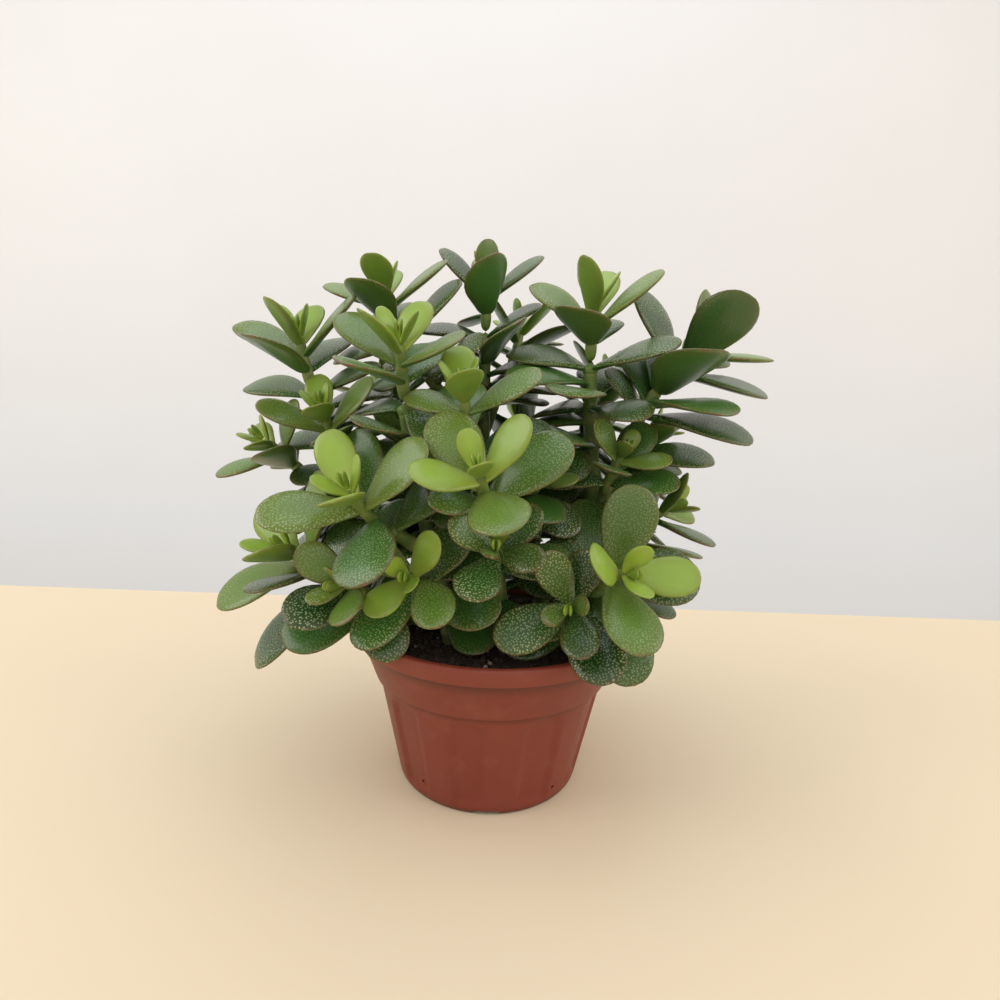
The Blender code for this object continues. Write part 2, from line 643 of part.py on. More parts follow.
def make_soil(group, peat, holes):
    """Potting soil that fills the pot's inside, slightly mounded, with a socket for each stem."""
    inner_foot = FOOT_RADIUS - WALL
    collar_slope = (COLLAR_TOP_RADIUS - COLLAR_FOOT_RADIUS) / (
        POT_HEIGHT - LIP_HEIGHT - COLLAR_FOOT_Z
    )
    edge = COLLAR_FOOT_RADIUS - WALL + collar_slope * (SOIL_EDGE_Z - COLLAR_FOOT_Z)
    profile = [
        (0.0, FLOOR_Z + WALL + GAP),
        (inner_foot - 1.5 * MM - GAP, FLOOR_Z + WALL + GAP),
        (inner_foot - 2 * GAP, FLOOR_Z + WALL + 1.5 * MM + GAP),
        (BODY_TOP_RADIUS - WALL - 2 * GAP, COLLAR_FOOT_Z - 2 * MM),
        (COLLAR_FOOT_RADIUS - WALL - 2 * GAP, COLLAR_FOOT_Z + 1.4 * MM),
        (edge - 3 * GAP, SOIL_EDGE_Z),
        (edge * 0.75, SOIL_EDGE_Z + SOIL_MOUND * 0.5),
        (edge * 0.4, SOIL_EDGE_Z + SOIL_MOUND * 0.9),
        (0.0, SOIL_EDGE_Z + SOIL_MOUND),
    ]
    outline = bmesh.new()
    corners = [outline.verts.new((r, 0, z)) for r, z in profile]
    for a, b in zip(corners, corners[1:]):
        outline.edges.new((a, b))
    turned = mesh_object("soil_profile", outline, group)
    screw = turned.modifiers.new("turn", "SCREW")
    screw.axis = "Z"
    screw.steps = screw.render_steps = POT_STEPS // 2
    screw.use_merge_vertices = True
    screw.merge_threshold = WELD
    soil = baked(turned, "potting_soil", group)
    combine(soil, holes, "DIFFERENCE")
    soil.data.materials.append(peat)
    return soil


def make_stem(stem, paths, group, bark):
    """A stem with its side shoots, up to where the rosettes begin."""
    own = [s for s in SHOOTS if s.name == stem.leader or s.parent == stem.name]
    parts = []
    for shoot in own:
        path = paths[shoot.name]
        end = path.length - stub(path) - JOINT_GAP
        sides = STEM_SIDES if shoot.parent is None else SHOOT_SIDES
        parts.append(tube("part_" + shoot.name, path, GAP, end, 0.0, group, STEM_STEP, sides))
    trunk = parts[0]
    trunk.name = "stem_" + stem.name
    if len(parts) > 1:
        combine(trunk, parts[1:], "UNION")
    trunk.data.materials.append(bark)
    return trunk


def make_bud(path, group):
    """The two leaves still pressed together at the tip."""
    tip, aim, _ = path.at(path.length)
    turn = aim.to_track_quat("Z", "Y").to_matrix().to_4x4()
    stretch = Matrix.Diagonal((BUD_RADIUS, BUD_RADIUS, BUD_LENGTH / 2, 1.0))
    middle = Matrix.Translation(tip + aim * BUD_LENGTH * 0.3)
    bud = bmesh.new()
    bmesh.ops.create_uvsphere(
        bud, u_segments=6, v_segments=4, radius=1.0, matrix=middle @ turn @ stretch
    )
    return mesh_object("bud", bud, group)


def make_rosette(shoot, path, leaves, group, fresh):
    """The soft end of a shoot with its bud and youngest pairs."""
    start = path.length - stub(path)
    rosette = tube(
        "rosette_" + shoot.name, path, start, path.length, 0.0, group, 8 * MM, SHOOT_SIDES
    )
    young = [make_bud(path, group)]
    for level in range(ROSETTE_AGES):
        for leaf in leaves[shoot.name, level]:
            young.append(mesh_object("young", leaf_cage(leaf), group))
    combine(rosette, young, "UNION")
    rosette.data.materials.append(fresh)
    return rosette


def make_pair(shoot, path, level, leaves, group, dark):
    """Two opposite leaves joined by a collar that clasps the stem."""
    middle = path.length - AGES[level].below * MM
    name = "leaf_pair_%s_%d" % (shoot.name, level - ROSETTE_AGES + 1)
    pair = tube(
        name, path, middle - CLASP, middle + CLASP, CLASP_WALL, group, CLASP, SHOOT_SIDES
    )
    grown = [mesh_object("old", leaf_cage(leaf), group) for leaf in leaves]
    combine(pair, grown, "UNION")
    bore = tube("bore", path, middle - STEM_STEP, middle + STEM_STEP, GAP * 1.8, group)
    combine(pair, [bore], "DIFFERENCE")
    pair.data.materials.append(dark)
    return pair


def main():
    clear_scene()
    plant = collection("potted_jade_plant")
    cutters = collection("cutters")
    plastic = material("terracotta_plastic", TERRACOTTA, 0.45)
    peat = material("peat", PEAT, 0.95)
    bark = material("green_stem", STEM_GREEN, 0.55)
    dark = material("mature_leaf", LEAF_DARK, 0.35)
    fresh = material("young_leaf", LEAF_FRESH, 0.40)

    paths, leaves = grow_plant()
    make_pot(plant, cutters, plastic)
    sockets = []
    for stem in STEMS:
        path = paths[stem.leader]
        end = path.length - stub(path) - JOINT_GAP
        sockets.append(tube("socket", path, 0.0, end, GAP * 1.5, cutters))
    make_soil(plant, peat, sockets)
    for stem in STEMS:
        make_stem(stem, paths, plant, bark)
    for shoot in SHOOTS:
        path = paths[shoot.name]
        make_rosette(shoot, path, leaves, plant, fresh)
        for level in range(ROSETTE_AGES, ROSETTE_AGES + shoot.old):
            if leaves[shoot.name, level]:
                make_pair(shoot, path, level, leaves[shoot.name, level], plant, dark)


if __name__ == "__main__":
    main()
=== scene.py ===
"""Visual model of a jade plant (Crassula ovata) in a squat plastic nursery pot, made round its CAD frame.

The growth rule is the one that made the frame, so each leaf stands where its CAD solid does. Lengths are in
metres, the origin is the middle of the pot's foot, +Z is up and -Y is the front.
"""

import functools
import json
import math
import random
from collections import namedtuple

import bmesh
import bpy
from bpy.props import FloatProperty, FloatVectorProperty, IntProperty, PointerProperty
from mathutils import Matrix, Vector, noise
from mathutils.bvhtree import BVHTree

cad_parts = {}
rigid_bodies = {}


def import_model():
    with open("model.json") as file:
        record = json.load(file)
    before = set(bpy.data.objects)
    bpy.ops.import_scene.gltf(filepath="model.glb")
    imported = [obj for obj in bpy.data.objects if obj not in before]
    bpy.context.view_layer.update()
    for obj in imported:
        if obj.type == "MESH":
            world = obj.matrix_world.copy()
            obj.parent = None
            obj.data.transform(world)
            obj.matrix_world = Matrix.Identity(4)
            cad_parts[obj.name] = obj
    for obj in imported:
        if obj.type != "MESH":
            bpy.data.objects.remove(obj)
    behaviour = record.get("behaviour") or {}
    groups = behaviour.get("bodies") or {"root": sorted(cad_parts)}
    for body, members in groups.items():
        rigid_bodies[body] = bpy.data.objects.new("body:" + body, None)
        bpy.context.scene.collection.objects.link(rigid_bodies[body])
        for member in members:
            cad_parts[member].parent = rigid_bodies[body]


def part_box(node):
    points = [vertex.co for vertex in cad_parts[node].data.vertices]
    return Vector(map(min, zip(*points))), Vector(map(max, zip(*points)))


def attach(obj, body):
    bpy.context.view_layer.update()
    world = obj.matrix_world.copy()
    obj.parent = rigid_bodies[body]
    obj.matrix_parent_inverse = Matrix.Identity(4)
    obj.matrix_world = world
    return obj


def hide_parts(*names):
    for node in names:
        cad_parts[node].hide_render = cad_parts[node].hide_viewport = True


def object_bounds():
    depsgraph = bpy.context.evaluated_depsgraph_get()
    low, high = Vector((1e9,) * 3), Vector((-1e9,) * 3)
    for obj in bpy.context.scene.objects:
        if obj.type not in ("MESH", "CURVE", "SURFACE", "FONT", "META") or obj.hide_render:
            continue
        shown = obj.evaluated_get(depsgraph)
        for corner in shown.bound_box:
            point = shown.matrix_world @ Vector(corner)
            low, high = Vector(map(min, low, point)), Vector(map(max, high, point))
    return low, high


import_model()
CAD_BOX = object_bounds()

bl_info = {
    "name": "Potted jade plant",
    "version": (1, 0, 0),
    "blender": (4, 5, 0),
    "location": "3D View > Sidebar > Jade plant",
    "description": "Models a jade plant in its nursery pot, leaf by leaf, with procedural materials",
    "category": "Object",
}

MM = 0.001
GAP = 0.35 * MM  # clear space between pieces that touch on the real plant

# ---------------------------------------------------------------- pot and soil

POT_HEIGHT = 76 * MM
RIM_RADIUS = 65 * MM
WALL = 1.8 * MM
LIP_HEIGHT = 7.5 * MM
LIP_THICKNESS = 2.6 * MM
COLLAR_TOP_RADIUS = 62.6 * MM
COLLAR_FOOT_Z = 51 * MM
COLLAR_FOOT_RADIUS = 56.2 * MM
BODY_TOP_RADIUS = 54.2 * MM
FOOT_RADIUS = 43.5 * MM
FLOOR_Z = 3 * MM
FOOT_RING = 3.4 * MM
FOOT_PAD = 14 * MM
FOOT_NOTCHES = 4
NOTCH_WIDTH = 12 * MM
NOTCH_HEIGHT = 1.8 * MM
WEEP_RADIUS = 0.8 * MM
WEEP_ANGLES = (-131, -49)
WEEP_Z = 8 * MM
FLUTES = 10
FLUTE_TOP_Z = 46 * MM
FLUTE_FOOT_Z = 6 * MM
DRAIN_HOLES = 8
DRAIN_RADIUS = 2.6 * MM
DRAIN_CIRCLE = 30 * MM
SOIL_EDGE_Z = 67.5 * MM
SOIL_MOUND = 3 * MM

# ------------------------------------------------------------------ the plant

# A stem's foot stands in the soil. Its leader shoot ends it.
Stem = namedtuple("Stem", "name foot leader radius")
STEMS = (
    Stem("a", (-30, 2), "left_top", 4.6),
    Stem("b", (-13, -18), "mid_left_top", 4.6),
    Stem("c", (5, -20), "centre_front", 4.4),
    Stem("d", (33, 4), "right_top", 5.2),
    Stem("e", (36, -10), "low_right", 4.2),
    Stem("f", (-34, -18), "low_left", 4.2),
    Stem("g", (-4, 16), "crown", 4.8),
    Stem("h", (20, 30), "back_right", 4.6),
    Stem("i", (-26, 30), "back_left", 4.4),
)

# A shoot's tip is in millimetres and aim is the way it points. roll turns its youngest pair about the stem,
# in degrees from level. spread opens its leaves, vigour scales them, and old is how many separate pairs stand
# below the rosette. parent and leaves_at say where a side shoot leaves its stem. A leader has None.
Shoot = namedtuple("Shoot", "name tip aim roll spread vigour old parent leaves_at")
SHOOTS = (
    Shoot("low_right", (52, -55, 113), (0.50, -0.85, 0.20), 85, 1.00, 1.08, 1, None, 0),
    Shoot("low_front_left", (-34, -55, 109), (-0.10, -0.95, 0.20), -45, 1.00, 0.88, 0, "b", 0.25),
    Shoot("front_left", (-56, -58, 143), (-0.25, -0.45, 0.85), 15, 1.00, 1.05, 1, "b", 0.40),
    Shoot("front_mid", (-7, -62, 152), (-0.20, -0.55, 0.80), 115, 1.10, 1.05, 1, "c", 0.50),
    Shoot("centre_front", (-15, -42, 183), (-0.10, -0.35, 0.93), 5, 1.00, 0.95, 0, None, 0),
    Shoot("mid_left_top", (-42, -32, 202), (0.00, -0.35, 0.95), -25, 1.05, 0.98, 1, None, 0),
    Shoot("right_top", (41, 0, 225), (0.03, -0.15, 1.00), -22, 0.90, 1.05, 2, None, 0),
    Shoot("right_far", (94, 4, 207), (0.75, 0.10, 0.50), 80, 0.80, 1.20, 0, "d", 0.45),
    Shoot("right_mid", (82, 28, 168), (0.80, -0.10, 0.50), 80, 1.00, 0.85, 0, "d", 0.33),
    Shoot("low_mid_right", (30, -56, 99), (-0.20, -0.90, 0.08), 28, 1.05, 0.95, 0, "e", 0.40),
    Shoot("left_top", (-94, 0, 207), (-0.15, -0.10, 0.97), -15, 0.95, 1.00, 1, None, 0),
    Shoot("left_mid", (-79, -15, 173), (-0.20, -0.25, 0.90), 20, 0.90, 0.85, 0, "a", 0.55),
    Shoot("left_far", (-109, -5, 158), (-0.60, -0.25, 0.60), 30, 1.00, 0.80, 0, "a", 0.42),
    Shoot("low_far_left", (-60, -54, 104), (-0.60, -0.70, 0.10), 50, 1.00, 0.95, 0, "f", 0.38),
    Shoot("low_left", (-90, -31, 113), (-0.60, -0.35, 0.55), 20, 1.05, 1.18, 1, None, 0),
    Shoot("crown", (-9, 30, 241), (0.00, 0.00, 1.00), 5, 0.80, 1.00, 0, None, 0),
    Shoot("left_crown", (-58, 18, 233), (-0.05, 0.00, 1.00), 0, 1.00, 0.95, 1, "g", 0.55),
    Shoot("low_centre", (0, -56, 122), (0.05, -0.85, 0.30), 70, 1.00, 0.85, 0, "c", 0.24),
    Shoot("mid_centre", (20, -18, 150), (0.05, -0.50, 0.75), 30, 1.00, 0.85, 1, "g", 0.35),
    Shoot("inner_right", (56, -14, 158), (0.30, -0.60, 0.70), 60, 1.00, 0.85, 0, "d", 0.30),
    Shoot("inner_left", (-40, -4, 165), (-0.25, -0.35, 0.85), 60, 1.00, 0.90, 1, "b", 0.42),
    Shoot("right_low", (84, 0, 132), (0.80, -0.30, 0.40), 45, 1.00, 0.90, 1, "e", 0.48),
    Shoot("back_right", (62, 62, 196), (0.35, 0.50, 0.80), 30, 0.95, 1.00, 1, None, 0),
    Shoot("back_mid", (12, 84, 172), (0.05, 0.80, 0.60), 10, 1.00, 1.00, 1, "h", 0.50),
    Shoot("low_back_right", (70, 62, 126), (0.65, 0.60, 0.30), 35, 1.00, 0.95, 1, "h", 0.35),
    Shoot("back_left", (-66, 66, 186), (-0.45, 0.50, 0.75), 20, 0.95, 1.00, 1, None, 0),
    Shoot("low_back_left", (-84, 40, 128), (-0.80, 0.30, 0.30), 15, 1.00, 0.95, 1, "i", 0.35),
    Shoot("low_back_mid", (-8, 78, 118), (-0.10, 0.90, 0.35), 60, 1.00, 0.95, 1, "i", 0.38),
    Shoot("back_crown", (10, 56, 222), (0.10, 0.35, 0.95), 45, 1.00, 0.95, 1, "g", 0.60),
)

# From the bud down, pair by pair: distance below the tip, leaf length and opening from the stem. The last
# seven stand half way between the pairs, and only extra leaves use them.
Age = namedtuple("Age", "below length opening")
AGES = tuple(
    Age(*row)
    for row in (
        (2.5, 17, 32), (6, 28, 47), (11.5, 36, 57), (18.5, 39, 64), (30, 41, 70), (43, 41, 76), (55, 38, 80),
        (67, 36, 82), (79, 36, 84), (91, 35, 84), (103, 34, 86), (115, 32, 86), (127, 32, 86), (138, 30, 86),
        (37, 39, 78), (49, 37, 80), (61, 36, 82), (73, 35, 84), (85, 34, 86), (97, 33, 86), (109, 31, 86),
    )
)
ROSETTE_AGES = 4
HALF_STEP_AGES = 14  # from here on the ages stand between the pairs
BUD_LENGTH = 8 * MM
BUD_RADIUS = 2.3 * MM
STUB = 27 * MM  # the soft stem that belongs to the rosette
COLLAR = 3 * MM  # half the height of the collar that joins an older pair round its stem
COLLAR_WALL = 0.7 * MM

SEED = 11
LEAF_ROOM = 0.8 * MM  # air that a leaf keeps round itself
STEM_ROOM = 1.2 * MM  # and off a stem
LIGHT = Vector((-0.1, -0.75, 0.65))  # the window that the leaves turn their faces to
MOST_TWIST = 0.6  # radians
TWIST_SHARE = 0.45  # of the way from where a leaf grew to the light
TWIST_REACH = 0.35  # share of its length over which a leaf twists
LEAF_SHARE = 0.59  # width of the youngest leaf as a share of its length
LEAF_BROADER = 0.02  # added to that with each pair
THIN_LEAF = 1.5 * MM
LEAF_SOLIDITY = 0.062  # thickness that each unit of length adds
FIRST_BEND = -4  # degrees that the youngest leaf curls inwards, and each older pair bends out by more
BEND_STEP = 6
ROOTED = 0.25  # how deep in its stem a leaf starts, as a share of the stem's radius
WIDEST_AT = 0.64  # of the way from base to tip
THICKEST_AT = 0.45
NECK = 0.30  # width at the base as a share of the widest
BASE_ROUND = 0.04  # share of its length over which a leaf's base closes
YOUNG_NECK = 0.35  # share of a leaf's length that may touch its own stem, on the youngest pair
GROWN_NECK = 0.14  # and on the others
CUP = 0.10  # how far the edges stand up, as a share of half the width
LEAF_SIDES = 4
LEAF_RINGS = 4
POLE = 0.001  # closer to an end of a sphere than this, as a share of its length, is the pole
TIP_RADIUS = 1.9 * MM
BRANCH_RADIUS = 3.1 * MM
TAPER = 0.86  # a stem's radius just under its soft end, as a share of BRANCH_RADIUS
SOFT_END = 30 * MM
RISE = 0.42  # handles of a stem's curve, as shares of its reach
BOW = 0.36
LEADER_STEPS = 14  # straight lengths that a stem's curve is made of
SIDE_STEPS = 11
FORK_CLEAR = 2 * MM
FORK_SAMPLES = 40
BURIED = 26 * MM
BOWL_STEPS = 40

# A leaf that would grow into another one opens, closes, turns aside or stays smaller: (opening, turn, size)
POSTURES = (
    (0, 0, 1.0), (7, 0, 1.0), (-7, 0, 1.0), (0, 9, 1.0), (0, -9, 1.0),
    (12, 7, 0.95), (-12, -7, 0.95), (12, -7, 0.95), (-12, 7, 0.95),
    (0, 16, 0.9), (0, -16, 0.9), (18, 0, 0.9), (-18, 0, 0.9), (24, 12, 0.88), (24, -12, 0.88),
    (0, 0, 0.8), (12, 16, 0.78), (12, -16, 0.78), (-12, 16, 0.78), (-12, -16, 0.78),
    (30, 0, 0.85), (-30, 0, 0.85), (0, 30, 0.85), (0, -30, 0.85), (34, 22, 0.75), (34, -22, 0.75),
    (0, 0, 0.65), (16, 10, 0.6), (-16, -10, 0.6), (0, 40, 0.75), (0, -40, 0.75), (0, 0, 0.5),
)

Leaf = namedtuple("Leaf", "base along normal length width thickness bend twist age")


def shoot_named(name):
    return next(s for s in SHOOTS if s.name == name)


def on_ring(first, second, turn):
    return first * math.cos(turn) + second * math.sin(turn)


def polar(radius, turn, z):
    return Vector((radius * math.cos(turn), radius * math.sin(turn), z))


class Path:
    """A smooth stem line from one point to another, with a radius that tapers."""

    def __init__(self, start, leave, end, aim, radius, steps):
        reach = (end - start).length
        handle_a = start + leave.normalized() * reach * RISE
        handle_b = end - aim.normalized() * reach * BOW
        self.points = []
        for i in range(steps + 1):
            t = i / steps
            u = 1 - t
            self.points.append(
                u**3 * start + 3 * u * u * t * handle_a + 3 * u * t * t * handle_b + t**3 * end
            )
        self.lengths = [0.0]
        for a, b in zip(self.points, self.points[1:]):
            self.lengths.append(self.lengths[-1] + (b - a).length)
        self.length = self.lengths[-1]
        self.radius = radius
        self.fork = 0.0

    def at(self, distance):
        """Point, tangent and radius at a distance from the start."""
        distance = min(max(distance, 0.0), self.length)
        i = 1
        while i < len(self.lengths) - 1 and self.lengths[i] < distance:
            i += 1
        a, b = self.points[i - 1], self.points[i]
        share = (distance - self.lengths[i - 1]) / (self.lengths[i] - self.lengths[i - 1])
        before = self.points[max(i - 2, 0)]
        after = self.points[min(i + 1, len(self.points) - 1)]
        tangent = ((b - before) * (1 - share) + (after - a) * share).normalized()
        return a.lerp(b, share), tangent, self.radius_at(distance)

    def radius_at(self, distance):
        left = max(self.length - distance, 0.0)
        body = self.radius + (BRANCH_RADIUS * TAPER - self.radius) * distance / self.length
        return TIP_RADIUS + (body - TIP_RADIUS) * min(left / SOFT_END, 1.0) ** 0.8


def fork_end(path, parent):
    """How far a side shoot runs before it is clear of the stem that it grew from."""
    beside = [parent.at(parent.length * i / FORK_SAMPLES)[0] for i in range(FORK_SAMPLES + 1)]
    for i in reversed(range(FORK_SAMPLES)):
        point, _, radius = path.at(path.length * i / FORK_SAMPLES)
        if min((point - other).length for other in beside) < radius + parent.radius + FORK_CLEAR:
            return path.length * (i + 1) / FORK_SAMPLES
    return 0.0


def stub(path):
    """Length of a rosette's own stem."""
    return min(STUB, path.length - path.fork)


def stem_end(path):
    return path.length - stub(path)


def stem_paths():
    """The line of every shoot, leaders first, because side shoots start on them."""
    paths = {}
    for stem in STEMS:
        leader = shoot_named(stem.leader)
        foot = Vector((stem.foot[0] * MM, stem.foot[1] * MM, SOIL_EDGE_Z - BURIED))
        away = Vector((foot.x * 4, foot.y * 4, 0.35))
        paths[leader.name] = Path(
            foot, away, Vector(leader.tip) * MM, Vector(leader.aim), stem.radius * MM, LEADER_STEPS
        )
    for shoot in SHOOTS:
        if shoot.parent is None:
            continue
        parent = paths[next(s.leader for s in STEMS if s.name == shoot.parent)]
        start, tangent, _ = parent.at(parent.length * shoot.leaves_at)
        tip = Vector(shoot.tip) * MM
        leave = tangent * 0.3 + (tip - start).normalized()
        path = Path(start, leave, tip, Vector(shoot.aim), BRANCH_RADIUS, SIDE_STEPS)
        path.fork = fork_end(path, parent)
        paths[shoot.name] = path
    return paths


def across_of(aim):
    """A level reference across the stem, nearest to +X."""
    reference = Vector((1, 0, 0)) if abs(aim.x) < 0.8 else Vector((0, -1, 0))
    return (reference - aim * reference.dot(aim)).normalized()


def nominal_leaf(shoot, path, level, side, posture, jitter):
    """The leaf of one pair on one side of the stem, before it gives way to its neighbours."""
    size_jitter, open_jitter, turn_jitter = jitter
    opening, turn, size = posture
    age = AGES[level]
    tip_aim = path.at(path.length)[1]
    point, tangent, radius = path.at(path.length - age.below * MM)
    first = across_of(tip_aim)
    first = (first - tangent * first.dot(tangent)).normalized()
    second = tangent.cross(first)
    angle = math.radians(shoot.roll + 90 * level + 180 * side + turn + turn_jitter)
    radial = on_ring(first, second, angle)
    open_angle = math.radians(age.opening * shoot.spread + opening + open_jitter)
    along = on_ring(tangent, radial, open_angle)
    normal = tangent * math.sin(open_angle) - radial * math.cos(open_angle)
    length = age.length * MM * shoot.vigour * size * size_jitter
    light = (LIGHT - along * LIGHT.dot(along)).normalized()
    lean = normal.angle(light) * (1 if along.dot(normal.cross(light)) > 0 else -1)
    twist = max(-MOST_TWIST, min(MOST_TWIST, lean * TWIST_SHARE)) * min(1.0, (level + 1) / 2)
    # A leaf that drew short comes out broader.
    share = (LEAF_SHARE + LEAF_BROADER * min(level, 3)) * (2 - size_jitter) ** 1.5
    return Leaf(
        base=point + radial * radius * ROOTED, along=along, normal=normal, length=length,
        width=length * share, thickness=THIN_LEAF + length * LEAF_SOLIDITY,
        bend=math.radians(FIRST_BEND + BEND_STEP * level), twist=twist, age=level,
    )


def closing(t):
    """Rounds a leaf off at its base."""
    return min(1.0, math.sqrt(t / BASE_ROUND + 1e-9))


def half_width(leaf, t):
    """Obovate outline: a narrow base, widest past the middle and a round end."""
    if t > WIDEST_AT:
        return 0.5 * leaf.width * math.sqrt(max(0.0, 1 - ((t - WIDEST_AT) / (1 - WIDEST_AT)) ** 2))
    s = t / WIDEST_AT
    rise = NECK + (1 - NECK) * (s * s * (3 - 2 * s)) ** 0.85
    return 0.5 * leaf.width * rise * closing(t)


def half_thickness(leaf, t):
    """Thickest just below the middle, and closed at both ends."""
    s = max(0.0, 1 - abs(2 * t - 2 * THICKEST_AT) ** 2.6 / (2 - 2 * THICKEST_AT) ** 2.6)
    return 0.5 * leaf.thickness * s**0.5 * closing(t)


def leaf_point(leaf, t, turn, grow=0.0):
    """A point of the leaf's skin: t runs from base to tip and turn goes round, 0 at one edge."""
    bent = leaf.bend * t
    if abs(leaf.bend) < 1e-4:
        middle = leaf.base + leaf.along * leaf.length * t
    else:
        reach = leaf.length / leaf.bend
        middle = (
            leaf.base
            + leaf.along * reach * math.sin(bent)
            - leaf.normal * reach * (1 - math.cos(bent))
        )
    along = leaf.along * math.cos(bent) - leaf.normal * math.sin(bent)
    normal = leaf.normal * math.cos(bent) + leaf.along * math.sin(bent)
    normal = Matrix.Rotation(leaf.twist * min(1.0, t / TWIST_REACH), 3, along) @ normal
    across = along.cross(normal)
    wide = half_width(leaf, t) + grow
    thick = half_thickness(leaf, t) + grow
    cup = CUP * math.cos(turn) ** 2 * wide
    return middle + across * wide * math.cos(turn) + normal * (thick * math.sin(turn) + cup)


def leaf_middle(leaf, t):
    return (leaf_point(leaf, t, math.pi / 2) + leaf_point(leaf, t, -math.pi / 2)) / 2


def leaf_cage(leaf, first=0.0, grow=0.0):
    """A sphere drawn out into the leaf, pole to pole. first leaves out the base, grow makes it fatter."""
    sphere = bmesh.new()
    bmesh.ops.create_uvsphere(sphere, u_segments=LEAF_SIDES, v_segments=LEAF_RINGS, radius=1.0)
    for vertex in sphere.verts:
        share = (1 + vertex.co.z) / 2
        turn = math.atan2(vertex.co.y, vertex.co.x)
        t = first + (1 - first) * share
        if POLE < share < 1 - POLE:
            vertex.co = leaf_point(leaf, t, turn, grow)
        else:
            vertex.co = leaf_middle(leaf, t)
    bmesh.ops.recalc_face_normals(sphere, faces=sphere.faces)
    return sphere


def tree_of(mesh):
    tree = BVHTree.FromBMesh(mesh)
    mesh.free()
    return tree


def path_tree(path, start, end):
    """A grid rolled into a coarse tube round a stem's line, for the growth rule."""
    rolled = bmesh.new()
    steps = max(4, int((end - start) / (6 * MM)))
    bmesh.ops.create_grid(rolled, x_segments=8, y_segments=steps, size=1.0)
    for vertex in rolled.verts:
        turn = math.pi * (1 + vertex.co.x)
        point, tangent, radius = path.at(start + (end - start) * (1 + vertex.co.y) / 2)
        first = across_of(tangent)
        vertex.co = point + (radius + STEM_ROOM) * on_ring(first, tangent.cross(first), turn)
    return tree_of(rolled)


def pot_tree():
    """The pot's rim and wall as a plain cone with a brim, and the soil's surface."""
    bowl = bmesh.new()
    brim = RIM_RADIUS + 2 * GAP
    mouth = RIM_RADIUS - LIP_THICKNESS
    for inner, depth, z in (
        (FOOT_RADIUS, POT_HEIGHT + GAP, (POT_HEIGHT + GAP) / 2),
        (mouth - GAP, 1e-5, POT_HEIGHT + GAP),
    ):
        bmesh.ops.create_cone(
            bowl, segments=BOWL_STEPS, radius1=inner, radius2=brim, depth=depth,
            matrix=Matrix.Translation((0, 0, z)),
        )
    bmesh.ops.create_circle(
        bowl, segments=BOWL_STEPS, radius=mouth, cap_ends=True,
        matrix=Matrix.Translation((0, 0, SOIL_EDGE_Z + SOIL_MOUND + 1 * MM)),
    )
    return tree_of(bowl)


def tree_if_free(leaf, shoot, obstacles, room, neck, own=None):
    """The leaf's shape with some air round it, or None if it touches anything. Its neck may touch its stem."""
    whole = tree_of(leaf_cage(leaf, 0.0, room))
    blade = tree_of(leaf_cage(leaf, neck, room))
    blocked = any(
        (blade if name == shoot.name else whole).overlap(other) for name, other in obstacles if name != own
    )
    return None if blocked else whole


def grow_plant():
    """Paths of the stems and, for each shoot and level, the leaves that found room."""
    paths = stem_paths()
    rng = random.Random(SEED)
    obstacles = [("pot", pot_tree())]
    for shoot in SHOOTS:
        path = paths[shoot.name]
        obstacles.append((shoot.name, path_tree(path, 0.0, path.length - 2 * MM)))
    leaves = {}
    for level in range(len(AGES)):
        for shoot in SHOOTS:
            path = paths[shoot.name]
            room = stub(path) if level < ROSETTE_AGES else path.length - path.fork
            pair = leaves[shoot.name, level] = []
            if level >= ROSETTE_AGES + shoot.old or AGES[level].below * MM + 3 * MM > room:
                continue
            own = (shoot.name, "rosette" if level < ROSETTE_AGES else "pair%d" % level)
            trees = []
            for side in (0, 1):
                jitter = (rng.uniform(0.92, 1.08), rng.uniform(-6, 6), rng.uniform(-7, 7))
                for posture in POSTURES:
                    leaf = nominal_leaf(shoot, path, level, side, posture, jitter)
                    neck = GROWN_NECK if level else YOUNG_NECK
                    tree = tree_if_free(leaf, shoot, obstacles, LEAF_ROOM, neck, own)
                    if tree:
                        pair.append(leaf)
                        trees.append((own, tree))
                        break
            obstacles += trees
    return paths, leaves, obstacles


# ------------------------------------------------------- leaves that only show

MOST_DRIFT = 3 * MM  # how far a piece's box may stand off its CAD solid's
FILL_SEED = 23
FILL_AGES = range(4, len(AGES))
FILL_ROOM = 0.3 * MM
FILL_NECK = 0.16
FORK_SHARE = 0.4  # of the length beside its parent that a shoot keeps bare
ABOVE_SOIL = 2 * MM
MOST_FILL_BEND = math.radians(32)


def in_view_box(leaf):
    """Whether the leaf stays inside the CAD model's box and off the soil."""
    tip = leaf_point(leaf, 1.0, 0.0)
    lowest = min(tip.z, leaf.base.z, leaf_point(leaf, 0.6, -math.pi / 2).z)
    inside = all(a < x < b for a, x, b in zip(CAD_BOX[0], tip, CAD_BOX[1]))
    return inside and lowest > SOIL_EDGE_Z + SOIL_MOUND + ABOVE_SOIL


